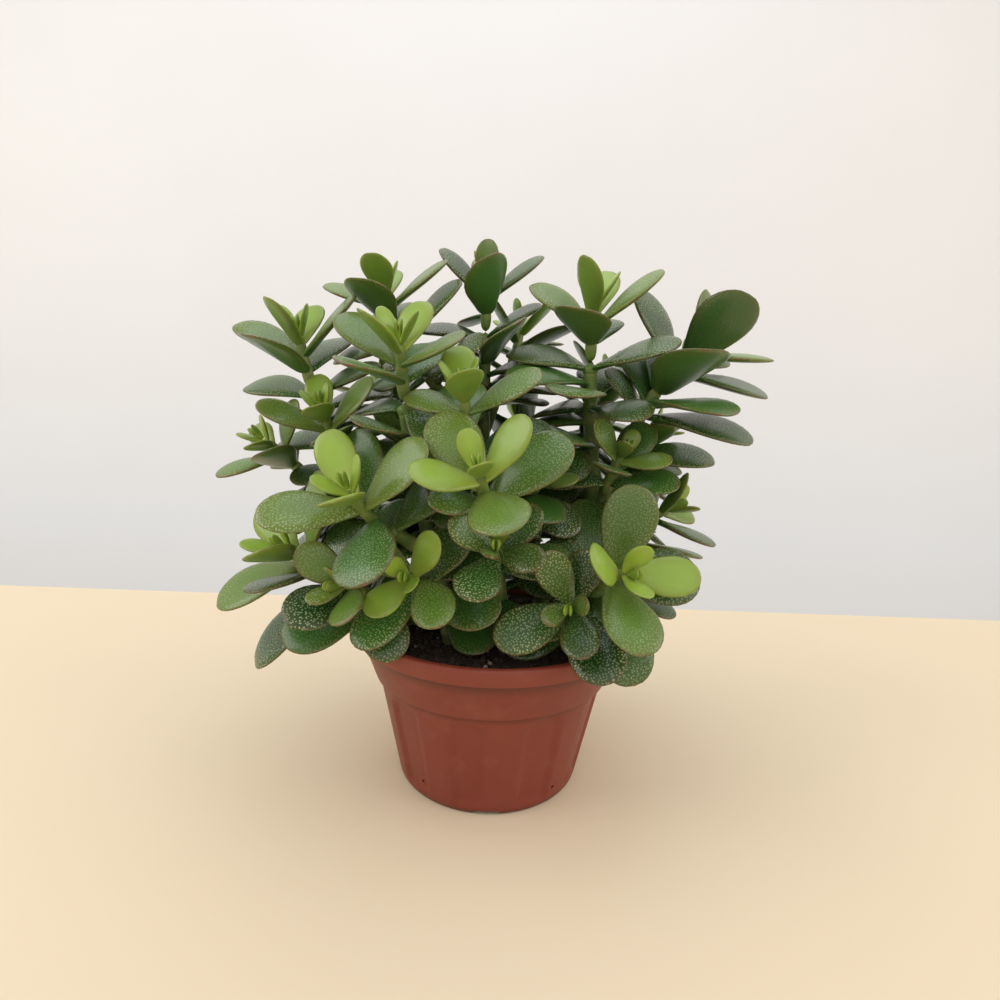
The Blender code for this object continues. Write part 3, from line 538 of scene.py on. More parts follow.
@functools.cache
def grown():
    """The stems and leaves of the frame, and the older leaves that fill the crown between them."""
    paths, leaves, obstacles = grow_plant()
    rng = random.Random(FILL_SEED)
    fill = {shoot.name: [] for shoot in SHOOTS}
    for level in FILL_AGES:
        for shoot in SHOOTS:
            path = paths[shoot.name]
            room = path.length - path.fork * FORK_SHARE
            if leaves[shoot.name, level] or AGES[level].below * MM + 2 * MM > room:
                continue
            for side in (0, 1):
                jitter = [rng.uniform(0.90, 1.06), rng.uniform(-8, 8), rng.uniform(-25, 25)]
                if level >= HALF_STEP_AGES:
                    jitter[2] += 45
                for posture in POSTURES:
                    leaf = nominal_leaf(shoot, path, level, side, posture, jitter)
                    leaf = leaf._replace(bend=min(leaf.bend, MOST_FILL_BEND))
                    tree = in_view_box(leaf) and tree_if_free(leaf, shoot, obstacles, FILL_ROOM, FILL_NECK)
                    if tree:
                        fill[shoot.name].append(leaf)
                        obstacles.append(((shoot.name, "fill"), tree))
                        break
    return paths, leaves, fill


def corners_of(leaves, path, start, end):
    """Points that the CAD solid of these leaves and this stretch of stem reaches."""
    points = []
    for leaf in leaves:
        cage = leaf_cage(leaf)
        points += [vertex.co.copy() for vertex in cage.verts]
        cage.free()
    for i in range(5):
        point, _, radius = path.at(start + (end - start) * i / 4)
        points += [point - Vector((radius,) * 3), point + Vector((radius,) * 3)]
    return points


def check_box(node, points):
    low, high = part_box(node)
    for axis in range(3):
        reach = [point[axis] for point in points]
        if abs(min(reach) - low[axis]) > MOST_DRIFT or abs(max(reach) - high[axis]) > MOST_DRIFT:
            raise RuntimeError("%s no longer grows where its CAD solid is" % node)


# ------------------------------------------------------------- shared modelling

LEAF_TURNS = 8
LEAF_LENGTHS = 8
CAGE_SWELL = 1.09  # a subdivided eight-sided cage shrinks by this much
LAYERS = ("age", "tint", "edge", "face", "along", "dots")
EDGE_REACH = 10 * MM  # distance from the edge at which the edge layer reads 1
SKIN_SHIFT = 100  # millimetres between the pores of one leaf and the next, at most
SCAR_WIDTH = 1.3 * MM
SCAR_HEIGHT = 0.55 * MM
STALK_STEP = 2.5 * MM
STALK_WANDER = 0.05  # share of a stem's radius


def new_mesh():
    bm = bmesh.new()
    for name in LAYERS:
        bm.verts.layers.float.new(name)
    bm.verts.layers.float_vector.new("skin")
    return bm


def mark(bm, vertex, **values):
    for name, value in values.items():
        vertex[bm.verts.layers.float[name]] = value


def faces_of(vertices):
    return {face for vertex in vertices for face in vertex.link_faces}


def skin_over(vertices, material_index):
    for face in faces_of(vertices):
        face.smooth = True
        face.material_index = material_index


def add_leaf(bm, leaf, age, tint, dots):
    """A sphere drawn out into a leaf, with the distance to the leaf's edge kept on each point."""
    made = bmesh.ops.create_uvsphere(
        bm, u_segments=LEAF_TURNS, v_segments=LEAF_LENGTHS, radius=1.0
    )["verts"]
    skin = bm.verts.layers.float_vector["skin"]
    for vertex in made:
        t = (1 + vertex.co.z) / 2
        turn = math.atan2(vertex.co.y, vertex.co.x)
        middle = leaf_middle(leaf, t)
        inside = face = across = 0.0
        if POLE < t < 1 - POLE:
            vertex.co = middle + (leaf_point(leaf, t, turn) - middle) * CAGE_SWELL
            inside = min(half_width(leaf, t) * (1 - abs(math.cos(turn))), (1 - t) * leaf.length)
            face = math.sin(turn)
            across = half_width(leaf, t) * math.cos(turn)
        else:
            vertex.co = middle
        mark(bm, vertex, age=age, tint=tint, edge=inside / EDGE_REACH, face=face, along=t, dots=dots)
        vertex[skin] = (across / MM + SKIN_SHIFT * dots, leaf.length * t / MM + SKIN_SHIFT * tint, 0.0)
    skin_over(made, 0)


def add_stalk(bm, path, start, end, extra, age, material_index, turns=12, rings=()):
    """A sphere drawn out along a stem's line. rings are the heights of its leaf scars."""
    lengths = max(6, round((end - start) / STALK_STEP))
    made = bmesh.ops.create_uvsphere(bm, u_segments=turns, v_segments=lengths, radius=1.0)["verts"]
    tint = random.Random(round(start * 1e5)).random()
    for vertex in made:
        share = 1 - math.acos(max(-1.0, min(1.0, vertex.co.z))) / math.pi
        turn = math.atan2(vertex.co.y, vertex.co.x)
        distance = start + (end - start) * share
        point, tangent, radius = path.at(distance)
        first = across_of(tangent)
        scar = max([math.exp(-(((distance - ring) / SCAR_WIDTH) ** 2)) for ring in rings], default=0.0)
        wander = 1 + STALK_WANDER * noise.noise(point * 160 + Vector((turn, 0, 0)))
        end_round = min(1.0, math.sqrt(max(0.0, min(share, 1 - share)) * lengths * 0.7))
        reach = ((radius + extra) * wander + SCAR_HEIGHT * scar) * end_round
        if not POLE < share < 1 - POLE:
            reach = 0.0
        vertex.co = point + reach * on_ring(first, tangent.cross(first), turn)
        mark(bm, vertex, age=age, tint=tint, edge=scar, face=0.0, along=distance / path.length)
    skin_over(made, material_index)


def object_of(name, bm):
    mesh = bpy.data.meshes.new(name)
    bm.to_mesh(mesh)
    bm.free()
    made = bpy.data.objects.new(name, mesh)
    bpy.context.scene.collection.objects.link(made)
    return made


def finish_piece(name, bm, materials, node, levels=1):
    """Closes a bmesh into an object that stands for a CAD node."""
    bmesh.ops.recalc_face_normals(bm, faces=bm.faces)
    made = object_of(name, bm)
    for one in materials:
        made.data.materials.append(one)
    if levels:
        smooth = made.modifiers.new("smooth", "SUBSURF")
        smooth.levels = smooth.render_levels = levels
    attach(made, "root")
    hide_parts(node)
    return made


# -------------------------------------------------------------------- materials

LEAF_FINISH = "crassula_leaf_waxy_cuticle"
STEM_FINISH = "crassula_stem_succulent_skin"
GREEN_FLESH = (0.6, 1.0, 0.25)  # how far red, green and blue light travel inside the plant, to one another


def linear(code):
    """An sRGB hex colour as linear red, green and blue."""
    levels = [int(code[i : i + 2], 16) / 255 for i in (1, 3, 5)]
    return tuple(v / 12.92 if v <= 0.04045 else ((v + 0.055) / 1.055) ** 2.4 for v in levels)


def per_metre(millimetres):
    """Texture scale that repeats at this spacing."""
    return 1.0 / (millimetres * MM)


def add(tree, kind, inputs=None, out=0, stops=(), **settings):
    """Adds a node and returns one output. inputs maps a socket to a value or to the output that feeds it."""
    made = tree.nodes.new("ShaderNode" + kind)
    for name, value in settings.items():
        setattr(made, name, value)
    for name, value in (inputs or {}).items():
        socket = made.inputs[name]
        if isinstance(value, bpy.types.NodeSocket):
            tree.links.new(value, socket)
        else:
            socket.default_value = (*value, 1.0) if socket.type == "RGBA" else value
    for i, (place, colour) in enumerate(stops):
        elements = made.color_ramp.elements
        element = elements[i] if i < 2 else elements.new(place)
        element.position = place
        element.color = (*colour, 1.0)
    return made.outputs[out] if made.outputs else None


def blank_material(name):
    """An empty material, its tree, and the place on the piece that its patterns follow."""
    made = bpy.data.materials.new(name)
    made.use_nodes = True
    made.node_tree.nodes.clear()
    return made, made.node_tree, add(made.node_tree, "TexCoord", out="Object")


def close_material(tree, inputs):
    add(tree, "OutputMaterial", {"Surface": add(tree, "BsdfPrincipled", inputs)})


def leaf_material(settings):
    """Crassula leaf: a thick waxy cuticle over green flesh. The wax gives soft broad highlights, water pores
    show as pale dots, and sun-stressed margins turn red."""
    made, tree, place = blank_material(LEAF_FINISH)
    age, tint, edge, face, along, pored = (
        add(tree, "Attribute", out="Fac", attribute_name=name) for name in LAYERS
    )
    cloud, spread, blotch, swell = (
        add(tree, "TexNoise", {"Vector": place, "Scale": per_metre(size), "Detail": detail})
        for size, detail in ((22, 3.0), (14, 1.0), (2.2, 2.0), (7, 2.0))
    )
    # Water pores lie in the skin, so they follow the leaf's own flat coordinates, in millimetres. They are
    # 0.3 mm wide on the real leaf and drawn 0.5 mm wide to show.
    flat = add(tree, "Attribute", out="Vector", attribute_name="skin")
    pores = add(
        tree, "TexVoronoi", {"Vector": flat, "Scale": MM / settings.pore_spacing, "Randomness": 0.85},
        voronoi_dimensions="2D",
    )
    # Each share: what it follows, the values there at its start and end, and the share at both. The margin is
    # a dotted red line 1 mm wide, with a bronze blush 5 mm wide inside it.
    share = {
        name: add(
            tree, "MapRange",
            {"Value": value, "From Min": start, "From Max": end, "To Min": low, "To Max": high},
            interpolation_type="SMOOTHSTEP" if name in ("dot", "rim") else "LINEAR",
        )
        for name, value, start, end, low, high in (
            ("fresh", tint, 0.0, 1.0, 0.0, 0.85),
            ("beneath", face, 0.15, -0.5, 0.0, 0.45),
            ("dot", pores, 0.33, 0.16, 0.0, 1.0),
            ("spread", spread, 0.35, 0.62, 0.35, 1.0),
            ("each_leaf", pored, 0.0, 1.0, 0.35, 1.0),
            ("outward", edge, 0.0, 0.9, 1.0, 0.55),
            ("upper_face", face, -0.3, 0.2, 0.15, 1.0),
            ("past_neck", along, 0.18, 0.45, 0.0, 1.0),
            ("blush", edge, 0.55, 0.0, 0.0, 0.50),
            ("rim", edge, 0.16, 0.05, 0.0, 1.0),
            ("blotch", blotch, 0.42, 0.60, 0.12, 0.95),
            ("grown_rim", age, 0.0, 0.6, 0.25, 1.0),
            ("stressed", tint, 0.0, 1.0, 0.40, 1.0),
            ("gloss", cloud, 0.0, 1.0, 0.27, 0.46),
        )
    }
    for name, factors in (
        ("dot", (share["spread"], share["outward"], share["each_leaf"], age, share["upper_face"])),
        ("blush", (share["past_neck"], cloud)),
        ("rim", (share["past_neck"], share["blotch"], share["grown_rim"], share["stressed"])),
    ):
        for factor in factors:
            share[name] = add(tree, "Math", {0: share[name], 1: factor}, operation="MULTIPLY")
    young = add(
        tree, "ValToRGB", {"Fac": along},
        stops=((0.0, settings.young_base), (0.5, settings.young), (1.0, settings.young)),
    )
    old = settings.mature_deep
    for amount, over in ((cloud, settings.mature_light), (share["fresh"], settings.mature_fresh)):
        old = add(tree, "Mix", {0: amount, 6: old, 7: over}, 2, data_type="RGBA")
    colour = young
    for amount, over in (
        (age, old), (share["beneath"], settings.underside), (share["dot"], settings.pores),
        (share["blush"], settings.bronze), (share["rim"], settings.margin),
    ):
        colour = add(tree, "Mix", {0: amount, 6: colour, 7: over}, 2, data_type="RGBA")
    wavy = add(tree, "Bump", {"Height": swell, "Strength": 0.35, "Distance": 0.5 * MM})
    pitted = add(
        tree, "Bump", {"Height": share["dot"], "Strength": 0.25, "Distance": 0.12 * MM, "Normal": wavy}
    )
    close_material(
        tree,
        {
            "Base Color": colour, "Roughness": share["gloss"], "Normal": pitted, "IOR": 1.45,
            "Coat Weight": 0.28, "Coat Roughness": 0.15,
            "Subsurface Weight": 0.10, "Subsurface Radius": GREEN_FLESH, "Subsurface Scale": 2.5 * MM,
        },
    )
    return made


def stem_material(settings):
    """Crassula stem: smooth green succulent skin that corks over near the soil, so the foot is browner and
    rougher and the young end is clear green with pale scars where leaves dropped."""
    made, tree, place = blank_material(STEM_FINISH)
    age, edge, along = (
        add(tree, "Attribute", out="Fac", attribute_name=name) for name in ("age", "edge", "along")
    )
    patch, grain = (
        add(tree, "TexNoise", {"Vector": place, "Scale": per_metre(size), "Detail": 4.0}) for size in (5, 1.6)
    )
    low = add(tree, "MapRange", {"Value": along, "From Min": 0.50, "From Max": 0.12})
    cork = add(tree, "Math", {0: low, 1: age}, operation="MULTIPLY")
    patchy_cork = add(tree, "Math", {0: cork, 1: patch}, operation="MULTIPLY")
    scar = add(tree, "Math", {0: edge, 1: 0.55}, operation="MULTIPLY")
    colour = settings.green
    for amount, over in ((patch, settings.pale), (patchy_cork, settings.cork), (scar, settings.scar)):
        colour = add(tree, "Mix", {0: amount, 6: colour, 7: over}, 2, data_type="RGBA")
    gloss = add(tree, "MapRange", {"Value": cork, "To Min": 0.42, "To Max": 0.75})
    rough = add(tree, "Bump", {"Height": grain, "Strength": 0.4, "Distance": 0.25 * MM})
    close_material(
        tree,
        {
            "Base Color": colour, "Roughness": gloss, "Normal": rough, "IOR": 1.45,
            "Subsurface Weight": 0.08, "Subsurface Radius": GREEN_FLESH, "Subsurface Scale": 2 * MM,
        },
    )
    return made


def plastic_material(settings):
    """Polypropylene, injection moulded and satin: an even orange-brown with a broad soft highlight, faint
    flow marks, dust that dulls it in patches, a painted highlight that draws the lip lighter than the collar,
    and painted shade under both ledges and round the foot."""
    made, tree, place = blank_material("polypropylene_moulded_satin")
    # Flow marks, dust, and moulding grain that is 0.4 mm on the tool and drawn at 0.7 mm.
    flow, dust, grain = (
        add(tree, "TexNoise", {"Vector": place, "Scale": per_metre(size), "Detail": detail})
        for size, detail in ((30, 3.0), (9, 6.0), (0.7, 2.0))
    )
    dusty = add(tree, "MapRange", {"Value": dust, "From Min": 0.52, "From Max": 0.75, "To Max": 0.07})
    height = add(tree, "SeparateXYZ", {"Vector": place}, "Z")
    lip_z = POT_HEIGHT - LIP_HEIGHT
    # Painted highlight: the lip is drawn a lighter orange than the collar, standing in for the light that
    # falls on it.
    painted_lip_highlight = add(
        tree, "MapRange",
        {"Value": height, "From Min": lip_z, "From Max": lip_z + 0.6 * MM, "To Max": 0.25},
    )
    # Painted shade under both ledges and round the foot, where shade falls: how much of it, at each height.
    levels = (
        (0.0, 0.55), (3 * MM, 0.0), (COLLAR_FOOT_Z - 4 * MM, 0.0), (COLLAR_FOOT_Z - 0.6 * MM, 0.6),
        (COLLAR_FOOT_Z, 0.0), (lip_z - 6 * MM, 0.0), (lip_z - 0.2 * MM, 0.7), (lip_z + 0.4 * MM, 0.0),
    )
    painted_shade_amount = add(
        tree, "ValToRGB", {"Fac": add(tree, "MapRange", {"Value": height, "From Max": POT_HEIGHT})},
        stops=[(z / POT_HEIGHT, (level,) * 3) for z, level in levels],
    )
    colour = settings.colour
    for amount, over in (
        (flow, settings.colour_light), (dusty, settings.dust), (painted_lip_highlight, settings.painted_lip_highlight),
        (painted_shade_amount, settings.painted_shade_colour),
    ):
        colour = add(tree, "Mix", {0: amount, 6: colour, 7: over}, 2, data_type="RGBA")
    gloss = add(tree, "MapRange", {"Value": dust, "To Min": 0.36, "To Max": 0.56})
    skin = add(tree, "Bump", {"Height": grain, "Strength": 0.15, "Distance": 0.06 * MM})
    sink = add(tree, "Bump", {"Height": flow, "Strength": 0.25, "Distance": 0.5 * MM, "Normal": skin})
    close_material(tree, {"Base Color": colour, "Roughness": gloss, "Normal": sink, "IOR": 1.49})
    return made


def peat_material(settings):
    """Peat, milled and moist: near black and fully rough, with brown fibre showing in the drier crumbs."""
    made, tree, place = blank_material("peat_milled_moist")
    crumb = add(tree, "TexNoise", {"Vector": place, "Scale": per_metre(1.8), "Detail": 5.0})
    colour = add(
        tree, "ValToRGB", {"Fac": crumb},
        stops=((0.35, settings.wet), (0.62, settings.wet), (0.80, settings.fibre)),
    )
    rough = add(tree, "Bump", {"Height": crumb, "Strength": 0.9, "Distance": 0.8 * MM})
    close_material(tree, {"Base Color": colour, "Roughness": 0.92, "Normal": rough, "IOR": 1.4})
    return made


def grit_material(settings):
    """Perlite, expanded and porous: pale matt grains that stand out against the peat."""
    made, tree, place = blank_material("perlite_expanded_porous")
    pores = add(tree, "TexNoise", {"Vector": place, "Scale": per_metre(0.9), "Detail": 3.0})
    colour = add(tree, "Mix", {0: pores, 6: settings.fibre, 7: settings.grit}, 2, data_type="RGBA")
    rough = add(tree, "Bump", {"Height": pores, "Strength": 0.6, "Distance": 0.3 * MM})
    close_material(tree, {"Base Color": colour, "Roughness": 0.85, "Normal": rough, "IOR": 1.4})
    return made


def paper_material(name, colour, settings):
    """Matt paper or cloth of the studio set: even and pale, with a faint cloudiness."""
    made, tree, place = blank_material(name)
    cloud = add(tree, "TexNoise", {"Vector": place, "Scale": per_metre(180), "Detail": 2.0})
    shade = [v * settings.shade for v in colour]
    base = add(tree, "Mix", {0: cloud, 6: shade, 7: colour}, 2, data_type="RGBA")
    close_material(tree, {"Base Color": base, "Roughness": 0.9, "IOR": 1.4})
    return made


# ------------------------------------------------------------------- settings


def colour_property(name, description, code):
    return FloatVectorProperty(
        name=name, description=description, subtype="COLOR", size=3, min=0.0, max=1.0, default=linear(code)
    )


def size_property(name, description, default, low, high):
    return FloatProperty(
        name=name, description=description, default=default, min=low, max=high, unit="LENGTH"
    )


def strength_property(name, description, default, low=0.0, high=50.0):
    return FloatProperty(name=name, description=description, default=default, min=low, max=high)


class PotSettings(bpy.types.PropertyGroup):
    steps: IntProperty(name="Steps", description="Faces round the pot", default=240, min=40, max=480)
    flute_depth: size_property("Flute depth", "How deep the flutes are pressed", 1.5 * MM, 0.0, 1.6 * MM)
    flute_edge: size_property(
        "Flute edge", "Width over which a flute's edge rounds off", 2.0 * MM, 0.5 * MM, 6 * MM
    )
    colour: colour_property("Colour", "Polypropylene, deeper part", "#782f21")
    colour_light: colour_property("Light colour", "Polypropylene, lighter part", "#873a28")
    # Painted highlight: the lighter colour laid on the lip.
    painted_lip_highlight: colour_property("Highlighted rim", "Polypropylene where the sun reaches it most", "#90432e")
    # Painted shade: the dark colour laid under the ledges and round the foot.
    painted_shade_colour: colour_property("Painted_shade", "Soil dust held under the ledges", "#43180f")
    dust: colour_property("Dust", "Dust in the satin grain", "#c49a80")


class SoilSettings(bpy.types.PropertyGroup):
    crumbs: IntProperty(name="Crumbs", description="Loose crumbs on top", default=1500, min=0, max=3000)
    crumb_size: size_property("Crumb size", "Radius of a middling crumb", 1.1 * MM, 0.2 * MM, 2 * MM)
    wet: colour_property("Wet peat", "Moist peat", "#4a3e37")
    fibre: colour_property("Fibre", "Drier fibre", "#8f7b69")
    grit: colour_property("Grit", "Grains of perlite", "#c9bda8")


class StemSettings(bpy.types.PropertyGroup):
    scar_spacing: size_property("Scar spacing", "Distance between leaf scars", 11 * MM, 4 * MM, 30 * MM)
    green: colour_property("Green", "Stem skin", "#56702f")
    pale: colour_property("Pale green", "Lighter patches of skin", "#7b9349")
    cork: colour_property("Cork", "Old skin at the foot", "#6d5f45")
    scar: colour_property("Scar", "Rings where leaves dropped", "#a9a765")


class LeafSettings(bpy.types.PropertyGroup):
    pore_spacing: size_property("Pore spacing", "Distance between the pale dots", 1.2 * MM, 0.5 * MM, 5 * MM)
    mature_deep: colour_property("Deep green", "Mature leaf in its darker parts", "#12330e")
    mature_light: colour_property("Mid green", "Mature leaf in its lighter parts", "#224f19")
    mature_fresh: colour_property("Fresh green", "Mature leaf that is younger", "#427426")
    young: colour_property("Young leaf", "Blade of a young leaf", "#98b942")
    young_base: colour_property("Young base", "Base of a young leaf", "#bcc95c")
    underside: colour_property("Underside", "Back of a leaf", "#557a3c")
    pores: colour_property("Pores", "Pale dots on the leaf", "#c3cf98")
    bronze: colour_property("Bronze", "Sun blush towards the margin", "#71592f")
    margin: colour_property("Margin", "Red edge of the leaf", "#74432f")


class StageSettings(bpy.types.PropertyGroup):
    floor_depth: size_property("Floor edge", "How far behind the pot the floor ends", 0.25, 0.1, 0.5)
    key_power: strength_property("Key light", "Strength of the window light", 5.6)
    side_power: strength_property("Side light", "Strength of the light from the other side", 3.9)
    fill_power: strength_property("Fill light", "Strength of the light from the front", 2.1)
    sky_power: strength_property("Top light", "Strength of the light from above", 2.6)
    sky: strength_property("Sky", "Strength of the light from all round", 0.80, high=3.0)
    shade: strength_property("Cloudiness", "Brightness of the set's darker patches", 0.96, 0.5, 1.0)
    floor: colour_property("Floor", "Cream sheet under the pot", "#ebdabd")
    wall: colour_property("Wall", "Pale wall behind", "#e9eaeb")


# ---------------------------------------------------------------------- pieces

BODY_ROWS = 24  # rings of the fluted body
ARCH = 4 * MM  # how much lower a flute ends at its sides
SHARP = math.radians(50)  # a steeper edge is left sharp
MERGE = 0.01 * MM
SOIL_STEPS = 96
SOIL_ROWS = 26
GRIT_EVERY = 17  # one crumb in so many is perlite


def turned(profile, steps):
    """A bmesh of a profile, (radius, height) from axis to axis, spun all round +Z."""
    bm = bmesh.new()
    corners = [bm.verts.new((r, 0, z)) for r, z in profile]
    edges = [bm.edges.new(pair) for pair in zip(corners, corners[1:])]
    bmesh.ops.spin(
        bm, geom=corners + edges, cent=(0, 0, 0), axis=(0, 0, 1), angle=2 * math.pi, steps=steps,
        use_merge=True,
    )
    bmesh.ops.remove_doubles(bm, verts=bm.verts, dist=MERGE)
    bmesh.ops.recalc_face_normals(bm, faces=bm.faces)
    return bm


def smoothstep(low, high, value):
    share = max(0.0, min(1.0, (value - low) / (high - low)))
    return share * share * (3 - 2 * share)


def wall_radius(z):
    """Outer radius of the fluted body, between the flutes."""
    return FOOT_RADIUS + (BODY_TOP_RADIUS - FOOT_RADIUS) * z / (COLLAR_FOOT_Z - 0.8 * MM)


def flute(angle, z, settings):
    """How deep the wall is pressed in here: half of each flute's pitch, with a rounded top."""
    pitch = 2 * math.pi / FLUTES
    half = pitch / 4
    off = (angle - half) % pitch
    off = min(off, pitch - off)
    inward = (half - off) * wall_radius(z)
    side = smoothstep(-settings.flute_edge / 2, settings.flute_edge / 2, inward)
    arch = ARCH * (min(1.0, off / half)) ** 2
    top = smoothstep(FLUTE_TOP_Z + 3 * MM - arch, FLUTE_TOP_Z + 0.5 * MM - arch, z)
    foot = smoothstep(FLUTE_FOOT_Z - 3 * MM, FLUTE_FOOT_Z + 1 * MM, z)
    return settings.flute_depth * side * top * foot


def pot_profile():
    """The pot's section, (radius, height), from the middle of its foot round the rim to its inner floor."""
    inner_foot = FOOT_RADIUS - WALL
    lip_z = POT_HEIGHT - LIP_HEIGHT
    body = [
        FLUTE_FOOT_Z - 3 * MM + (COLLAR_FOOT_Z - 1.2 * MM - FLUTE_FOOT_Z + 3 * MM) * i / BODY_ROWS
        for i in range(BODY_ROWS + 1)
    ]
    return (
        (0.0, 0.0),
        (FOOT_PAD, 0.0),
        (FOOT_PAD + FLOOR_Z, FLOOR_Z),
        (FOOT_RADIUS - FOOT_RING, FLOOR_Z),
        (FOOT_RADIUS - FOOT_RING + 0.6 * MM, 0.0),
        (FOOT_RADIUS - 0.8 * MM, 0.0),
        (FOOT_RADIUS, 1.0 * MM),
        *((wall_radius(z), z) for z in body),
        (BODY_TOP_RADIUS, COLLAR_FOOT_Z - 0.8 * MM),
        (COLLAR_FOOT_RADIUS - 0.3 * MM, COLLAR_FOOT_Z - 0.3 * MM),
        (COLLAR_FOOT_RADIUS, COLLAR_FOOT_Z + 0.4 * MM),
        (COLLAR_TOP_RADIUS, lip_z),
        (RIM_RADIUS - 0.4 * MM, lip_z + 0.3 * MM),
        (RIM_RADIUS, lip_z + 1.0 * MM),
        (RIM_RADIUS, POT_HEIGHT - 1.0 * MM),
        (RIM_RADIUS - 0.3 * MM, POT_HEIGHT - 0.3 * MM),
        (RIM_RADIUS - 1.0 * MM, POT_HEIGHT),
        (RIM_RADIUS - LIP_THICKNESS + 0.4 * MM, POT_HEIGHT),
        (RIM_RADIUS - LIP_THICKNESS, POT_HEIGHT - 0.5 * MM),
        (COLLAR_TOP_RADIUS - WALL, lip_z),
        (COLLAR_FOOT_RADIUS - WALL, COLLAR_FOOT_Z + 1 * MM),
        (BODY_TOP_RADIUS - WALL, COLLAR_FOOT_Z - 2 * MM),
        (inner_foot, FLOOR_Z + WALL + 1.5 * MM),
        (inner_foot - 1.5 * MM, FLOOR_Z + WALL),
        (0.0, FLOOR_Z + WALL),
    )


def pot_cutters():
    """The drain holes, foot notches and pinholes as one closed mesh."""
    bm = bmesh.new()

    def drill(place, radius, depth, segments):
        bmesh.ops.create_cone(
            bm, cap_ends=True, segments=segments, radius1=radius, radius2=radius, depth=depth, matrix=place
        )

    for i in range(DRAIN_HOLES):
        spot = polar(DRAIN_CIRCLE, 2 * math.pi * (i + 0.5) / DRAIN_HOLES, FLOOR_Z)
        drill(Matrix.Translation(spot), DRAIN_RADIUS, 6 * WALL, 24)
    for i in range(FOOT_NOTCHES):
        angle = 2 * math.pi * i / FOOT_NOTCHES
        place = Matrix.Translation(polar(FOOT_RADIUS, angle, 0)) @ Matrix.Rotation(angle, 4, "Z")
        size = Matrix.Diagonal((4 * FOOT_RING, NOTCH_WIDTH, 2 * NOTCH_HEIGHT, 1))
        bmesh.ops.create_cube(bm, size=1, matrix=place @ size)
    for angle in map(math.radians, WEEP_ANGLES):
        lay = Matrix.Rotation(angle, 4, "Z") @ Matrix.Rotation(math.pi / 2, 4, "Y")
        drill(Matrix.Translation(polar(FOOT_RADIUS, angle, WEEP_Z)) @ lay, WEEP_RADIUS, 8 * WALL, 12)
    return bm


def cut_from(bm, cutter_bm):
    """A bmesh with the cutter's shape taken out of it."""
    body = object_of("uncut", bm)
    cutter = object_of("cutter", cutter_bm)
    cut = body.modifiers.new("cut", "BOOLEAN")
    cut.operation, cut.solver, cut.object = "DIFFERENCE", "EXACT", cutter
    graph = bpy.context.evaluated_depsgraph_get()
    graph.update()
    result = bmesh.new()
    result.from_mesh(body.evaluated_get(graph).to_mesh())
    for spent in (body, cutter):
        mesh = spent.data
        bpy.data.objects.remove(spent)
        bpy.data.meshes.remove(mesh)
    return result


class JADE_OT_pot(bpy.types.Operator):
    """Makes the fluted nursery pot with its rim, foot and holes"""

    bl_idname = "jade.pot"
    bl_label = "Pot"

    def execute(self, context):
        settings = context.scene.jade_pot
        bm = turned(pot_profile(), settings.steps)
        for vertex in bm.verts:
            x, y, z = vertex.co
            radius = math.hypot(x, y)
            if 1.5 * MM < z < COLLAR_FOOT_Z - 0.9 * MM and radius > wall_radius(z) - 0.2 * MM:
                shrink = 1 - flute(math.atan2(y, x), z, settings) / radius
                vertex.co = (x * shrink, y * shrink, z)
        bm = cut_from(bm, pot_cutters())
        for face in bm.faces:
            face.smooth = True
        for edge in bm.edges:
            edge.smooth = not (edge.is_manifold and edge.calc_face_angle(0.0) > SHARP)
        finish_piece("nursery_pot", bm, [plastic_material(settings)], "pot", levels=0)
        return {"FINISHED"}


class JADE_OT_soil(bpy.types.Operator):
    """Makes the peat with its crumbs and pale flecks"""

    bl_idname = "jade.soil"
    bl_label = "Potting soil"

    def execute(self, context):
        settings = context.scene.jade_soil
        slope = (COLLAR_TOP_RADIUS - COLLAR_FOOT_RADIUS) / (POT_HEIGHT - LIP_HEIGHT - COLLAR_FOOT_Z)
        edge = COLLAR_FOOT_RADIUS - WALL + slope * (SOIL_EDGE_Z - COLLAR_FOOT_Z) - 3 * GAP
        surface = [
            (edge * (1 - i / SOIL_ROWS), SOIL_EDGE_Z + SOIL_MOUND * math.sin(math.pi / 2 * i / SOIL_ROWS))
            for i in range(SOIL_ROWS + 1)
        ]
        under = [
            (0.0, FLOOR_Z + WALL + GAP),
            (FOOT_RADIUS - WALL - 1.5 * MM - GAP, FLOOR_Z + WALL + GAP),
            (FOOT_RADIUS - WALL - 2 * GAP, FLOOR_Z + WALL + 1.5 * MM + GAP),
            (BODY_TOP_RADIUS - WALL - 2 * GAP, COLLAR_FOOT_Z - 2 * MM),
            (COLLAR_FOOT_RADIUS - WALL - 2 * GAP, COLLAR_FOOT_Z + 1.4 * MM),
        ]
        bm = turned(under + surface, SOIL_STEPS)
        for vertex in bm.verts:
            if vertex.co.z > SOIL_EDGE_Z - 0.1 * MM:
                for rise, spacing in ((1.3 * MM, 6), (0.6 * MM, 2)):
                    vertex.co.z += rise * noise.noise(vertex.co * per_metre(spacing))
        rng = random.Random(5)
        for i in range(settings.crumbs):
            reach = (edge - 1.5 * MM) * math.sqrt(rng.random())
            angle = rng.uniform(0, 2 * math.pi)
            size = settings.crumb_size * rng.uniform(0.4, 1.7)
            height = SOIL_EDGE_Z + SOIL_MOUND * math.sin(math.pi / 2 * (1 - reach / edge))
            turn = Matrix.Rotation(rng.uniform(0, math.pi), 4, Vector((rng.random(), rng.random(), 1)))
            stretch = Matrix.Diagonal((rng.uniform(0.6, 1.5), 1.0, rng.uniform(0.5, 1.0), 1.0))
            made = bmesh.ops.create_icosphere(
                bm, subdivisions=1, radius=size,
                matrix=Matrix.Translation(polar(reach, angle, height)) @ turn @ stretch,
            )["verts"]
            if i % GRIT_EVERY == 0:
                skin_over(made, 1)
        for face in bm.faces:
            face.smooth = True
        materials = [peat_material(settings), grit_material(settings)]
        finish_piece("peat_surface", bm, materials, "potting_soil", levels=0)
        return {"FINISHED"}


